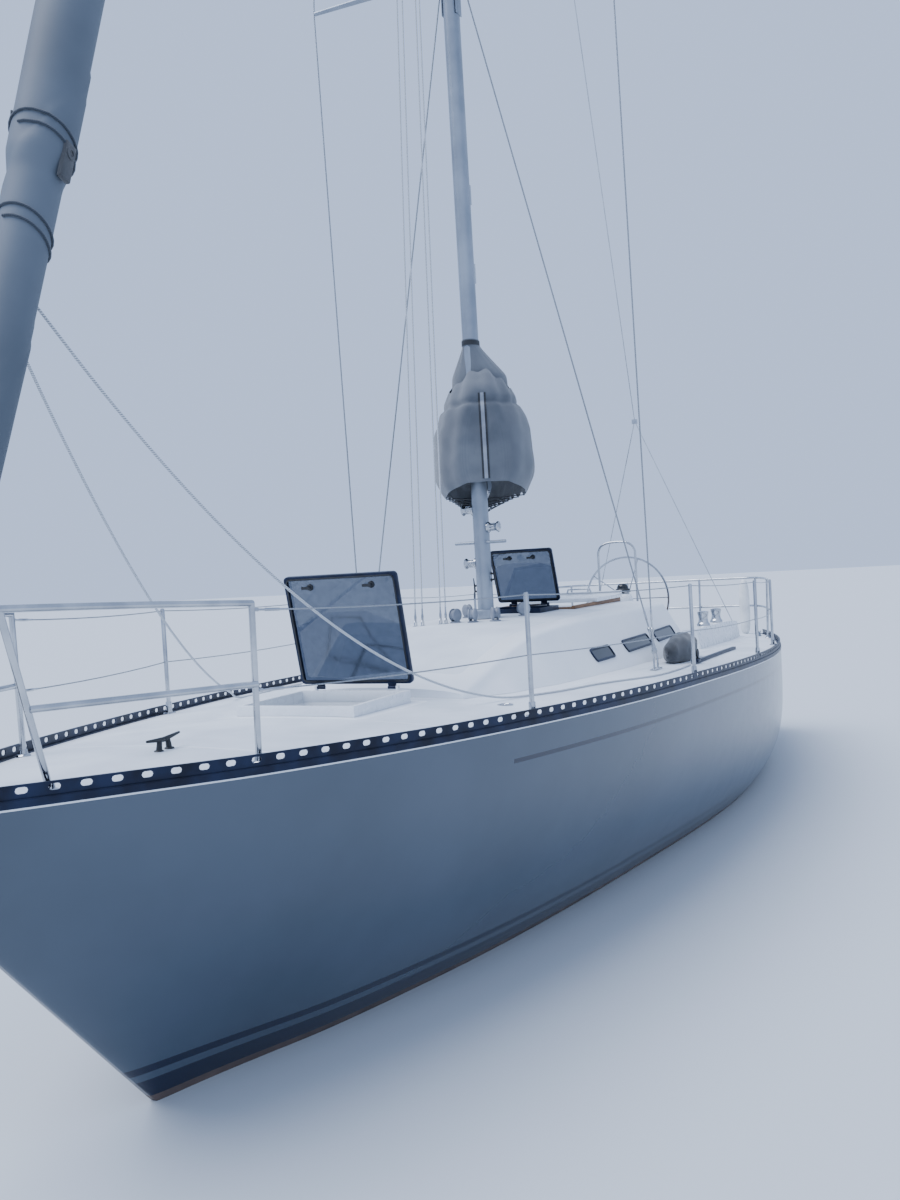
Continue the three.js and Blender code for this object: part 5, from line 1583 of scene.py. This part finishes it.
class YACHT_OT_deck_gear(Operator):
    """Bolts down the mooring cleats, the sheet cars, the deck fillers and the bow light"""
    bl_idname = "yacht.deck_gear"
    bl_label = "Deck gear"

    def execute(self, context):
        foredeck = horn_cleat(0.24, seat("deck_moulding", 1.36, 0.06), (-1, -0.125, 0))
        keep(foredeck, "foredeck_cleat", "black_nylon", "dark_alloy")
        quarters = []
        for sign in (1, -1):
            s = 9.62
            quarters.append(horn_cleat(0.20, seat("deck_moulding", s, sign * (edge_at(s)[0] - 0.13))))
        keep(joined(quarters), "quarter_cleats", "clear_anodised", "dark_alloy")
        cars, feet = [], []
        for sign, side in SIDES:
            low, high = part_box(f"genoa_track_{side}")
            x, y = high[0] - 0.10, (low[1] + high[1]) / 2
            top = under(f"genoa_track_{side}_faired", x, y)
            feet.append(block((x - 0.055, y - 0.026, top - 0.010), (x + 0.055, y + 0.026, top + 0.012),
                              0.004))
            cars.append(pulley(0.070, (x, y, top + 0.010), (1, 0, 0)))
            feet.append(rod((x - 0.035, y, top + 0.010), (x - 0.035, y, top + 0.030), 0.006, sides=12,
                            edge=0.001))
        keep(joined(cars), "sheet_car_blocks", "black_nylon", "dark_alloy")
        keep(joined(feet), "sheet_cars", "navy_anodised", "dark_alloy")
        caps = []
        for s, y in ((3.10, 0.86), (9.55, -0.80)):
            z = under("deck_moulding", from_stem(s), y)
            caps.append(turned(FILLER, (from_stem(s), y, z), steps=32))
        keep(joined(caps), "deck_fillers", *STEEL)
        x, z = from_stem(-0.186), 2.044
        body = block((x - 0.045, -0.042, z - 0.075), (x + 0.012, 0.042, z - 0.004), 0.008)
        keep(body, "bow_light_body", "black_nylon", "steel")
        for sign, tone in ((1, "red"), (-1, "green")):
            lens = rod((x + 0.002, sign * 0.020, z - 0.064), (x + 0.002, sign * 0.020, z - 0.016), 0.021,
                       sides=24, edge=0.002)
            keep(lens, f"bow_light_{tone}", f"{tone}_lens", "steel")
        return {"FINISHED"}


class YACHT_OT_mast_gear(Operator):
    """Dresses the mast: its lights and vane, exit plates and cleats, and the boom's end fittings"""
    bl_idname = "yacht.mast_gear"
    bl_label = "Mast gear"

    def execute(self, context):
        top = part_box("masthead")[1][2]
        x = MAST_X
        lamp = turned([(0, 0), (0.032, 0), (0.032, 0.012), (0, 0.012)], (x - 0.06, 0, top - 0.003))
        vane = [rod((x + 0.08, 0, top - 0.003), (x + 0.08, 0, top + 0.14), 0.003, sides=10),
                rod((x - 0.02, 0, top + 0.14), (x + 0.20, 0, top + 0.14), 0.0025, sides=10),
                block((x - 0.10, -0.001, top + 0.115), (x - 0.02, 0.001, top + 0.165), 0.0004, 1),
                rod((x + 0.08, 0, top + 0.12), (x + 0.02, 0.085, top + 0.12), 0.002, sides=8),
                rod((x + 0.08, 0, top + 0.12), (x + 0.02, -0.085, top + 0.12), 0.002, sides=8)]
        keep(joined([lamp, *vane]), "masthead_vane", "black_nylon", "spar")
        glass = turned([(0, 0), (0.027, 0), (0.027, 0.055), (0.020, 0.064), (0, 0.066)],
                       (x - 0.06, 0, top + 0.008))
        keep(glass, "masthead_light", "white_lens", "spar")
        front = MAST_X + MAST_LONG / 2
        shade = block((front - 0.006, -0.030, 9.02), (front + 0.050, 0.030, 9.10), 0.010)
        keep(shade, "steaming_light_body", "black_nylon", "spar")
        keep(rod((front + 0.036, 0, 9.03), (front + 0.036, 0, 9.09), 0.020, sides=24, edge=0.003),
             "steaming_light", "white_lens", "spar")
        fittings = []
        for sign, z in ((1, 1.98), (-1, 1.90)):
            fittings.append(horn_cleat(0.15, (MAST_X - 0.005, sign * (MAST_WIDE / 2 - 0.003), z), (0, 0, 1),
                                       (0, sign, 0)))
        keep(joined(fittings), "mast_cleats", "black_nylon", "dark_alloy")
        plates = []
        for sign, z in ((1, 4.05), (-1, 4.30), (1, 4.60)):
            y = sign * (MAST_WIDE / 2 - 0.0125)
            near, far = sorted((y, y + sign * 0.010))
            plates.append(block((MAST_X - 0.052, near, z), (MAST_X - 0.026, far, z + 0.14), 0.004))
        keep(joined(plates), "halyard_exits", "polished_stainless", "spar")
        low = -4.03
        ends = [block((low - 0.012, -0.052, -0.062), (low + 0.05, 0.052, 0.062), 0.012)]
        ends.append(pulley(0.07, (low + 0.30, 0, -0.062), (1, 0, 0), (0, 0, -1)))
        ends.append(horn_cleat(0.13, (low + 0.60, 0.048, 0.0), (1, 0, 0), (0, 1, 0)))
        keep(moved(joined(ends), ON_BOOM), "boom_end_fittings", "black_nylon", "spar", body="boom")
        return {"FINISHED"}


class YACHT_OT_cockpit_gear(Operator):
    """Fits out the cockpit: the compass on its pedestal and the gratings on the sole"""
    bl_idname = "yacht.cockpit_gear"
    bl_label = "Cockpit gear"

    def execute(self, context):
        low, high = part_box("steering_pedestal")
        x, top = (low[0] + high[0]) / 2, high[2]
        bowl = turned([(0, -0.004), (0.078, -0.004), (0.078, 0.010), (0.070, 0.028), (0.064, 0.034),
                       (0, 0.034)], (x, 0, top), steps=36)
        keep(bowl, "compass_bowl", "black_nylon", "dark_alloy")
        dome = turned([(0, 0), (0.058, 0), (0.056, 0.020), (0.046, 0.038), (0.028, 0.050), (0, 0.055)],
                      (x, 0, top + 0.033), steps=36)
        keep(dome, "compass_dome", "dark_glazing", "dark_alloy", angle=60)
        slats = []
        for s0, s1 in ((7.40, 8.28), (8.80, 9.12)):
            for k in range(8):
                y = -0.21 + 0.06 * k
                slats.append(block((from_stem(s1), y - 0.024, 0.712), (from_stem(s0), y + 0.024, 0.728),
                                   0.002))
            for s in np.linspace(s0 + 0.06, s1 - 0.06, 3):
                slats.append(block((from_stem(s) - 0.02, -0.234, 0.699),
                                   (from_stem(s) + 0.02, 0.234, 0.713), 0.001))
        keep(joined(slats), "cockpit_gratings", "oiled_teak", "teak")
        return {"FINISHED"}


# Cockpit, companionway, and what is under the water

COPIES = (
    # nodes, finish, slot, crease degrees, levels of rounding
    ("cockpit_coaming_port cockpit_coaming_starboard", "smooth_gelcoat", "deck", 60, 2),
    ("fin_keel rudder", "bottom_paint", "antifouling", 40, 2),
    ("shaft_strut", "cast_bronze", "bronze", 50, 1),
    ("propeller_shaft", *STEEL, 50, 1),
    ("propeller", "cast_bronze", "bronze", 60, 2),
    ("stem_head_fitting", *STEEL, 0, 0),
    ("slide_runners", "oiled_teak", "teak", 0, 0),
    ("companionway_slide", "smooth_gelcoat", "deck", 0, 0),
    ("companionway_boards", "oiled_teak", "teak", 0, 0),
    ("steering_pedestal", "smooth_gelcoat", "deck", 60, 1),
    ("pedestal_guard steering_wheel winch_port_1 winch_port_2 winch_starboard_1 winch_starboard_2",
     *STEEL, 60, 1),
    ("genoa_track_port genoa_track_starboard", "navy_anodised", "dark_alloy", 0, 0),
    ("stowed_fender", "inflated_vinyl", "fender", 60, 2),
)
MOVING = {"rudder": "rudder", "propeller": "propeller", "companionway_slide": "slide",
          "steering_wheel": "steering_wheel"}


class YACHT_OT_fair_pieces(Operator):
    """Fairs the keel, rudder, cockpit and deck pieces whose shape the frame already has"""
    bl_idname = "yacht.fair_pieces"
    bl_label = "Other pieces"

    def execute(self, context):
        for nodes, look, slot, crease, levels in COPIES:
            for node in nodes.split():
                piece = refined(node, crease, levels) if levels else bevelled(merged_copy(node), 0.003, 2, 50)
                keep(piece, f"{node}_faired", look, slot, node, body=MOVING.get(node, "hull"))
        bag = refined("deck_bag", 80, 2)
        low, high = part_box("deck_bag")
        for vertex, normal in [(v, v.normal.copy()) for v in bag.data.vertices]:
            place = vertex.co
            lift = min(1.0, (place.z - low[2]) / 0.08)
            slack = noise.noise(place * 7.0) * 0.7 + 0.5 * noise.noise(place * 16.0)
            pleat = math.sin((place.x - low[0]) * 42 + 3 * noise.noise(place * 5))
            gather = pleat * abs(place.z - high[2]) * 0.10
            vertex.co -= normal * lift * (0.012 + 0.030 * max(-0.4, slack) + 0.5 * abs(gather))
        keep(bag, "deck_bag_canvas", "dark_canvas", "dark_fabric", "deck_bag", angle=60)
        return {"FINISHED"}


# Panel and registration

GROUPS = (("yacht_stage", YachtStage), ("yacht_hull", YachtHull), ("yacht_rails", YachtRails),
          ("yacht_rig", YachtRig), ("yacht_sails", YachtSails))
OPERATORS = (
    YACHT_OT_stage, YACHT_OT_sheets, YACHT_OT_hull, YACHT_OT_deck, YACHT_OT_coachroof, YACHT_OT_toe_rails,
    YACHT_OT_hatches, YACHT_OT_guards, YACHT_OT_mast, YACHT_OT_rigging, YACHT_OT_genoa, YACHT_OT_mainsail,
    YACHT_OT_fair_pieces, YACHT_OT_cover_hood, YACHT_OT_roof_gear, YACHT_OT_deck_gear, YACHT_OT_mast_gear,
    YACHT_OT_cockpit_gear,
)


class YACHT_PT_panel(Panel):
    """Lists the yacht's pieces, with their sizes and colours"""
    bl_label = "Sailing Yacht"
    bl_idname = "YACHT_PT_panel"
    bl_space_type = "VIEW_3D"
    bl_region_type = "UI"
    bl_category = "Yacht"

    def draw(self, context):
        for operator in OPERATORS:
            self.layout.operator(operator.bl_idname)
        for name, group in GROUPS:
            box = self.layout.box()
            box.label(text=group.__name__[5:])
            for key in group.__annotations__:
                box.prop(getattr(context.scene, name), key)


def register():
    """Registers the sizes, the operators and the panel."""
    for name, group in GROUPS:
        bpy.utils.register_class(group)
        setattr(bpy.types.Scene, name, PointerProperty(type=group))
    for one in (*OPERATORS, YACHT_PT_panel):
        bpy.utils.register_class(one)


def unregister():
    """Takes them all out again."""
    for one in (YACHT_PT_panel, *reversed(OPERATORS)):
        bpy.utils.unregister_class(one)
    for name, group in reversed(GROUPS):
        delattr(bpy.types.Scene, name)
        bpy.utils.unregister_class(group)


def main():
    """Makes every piece in turn."""
    register()
    for operator in OPERATORS:
        group, name = operator.bl_idname.split(".")
        getattr(getattr(bpy.ops, group), name)()


if __name__ == "__main__":
    main()
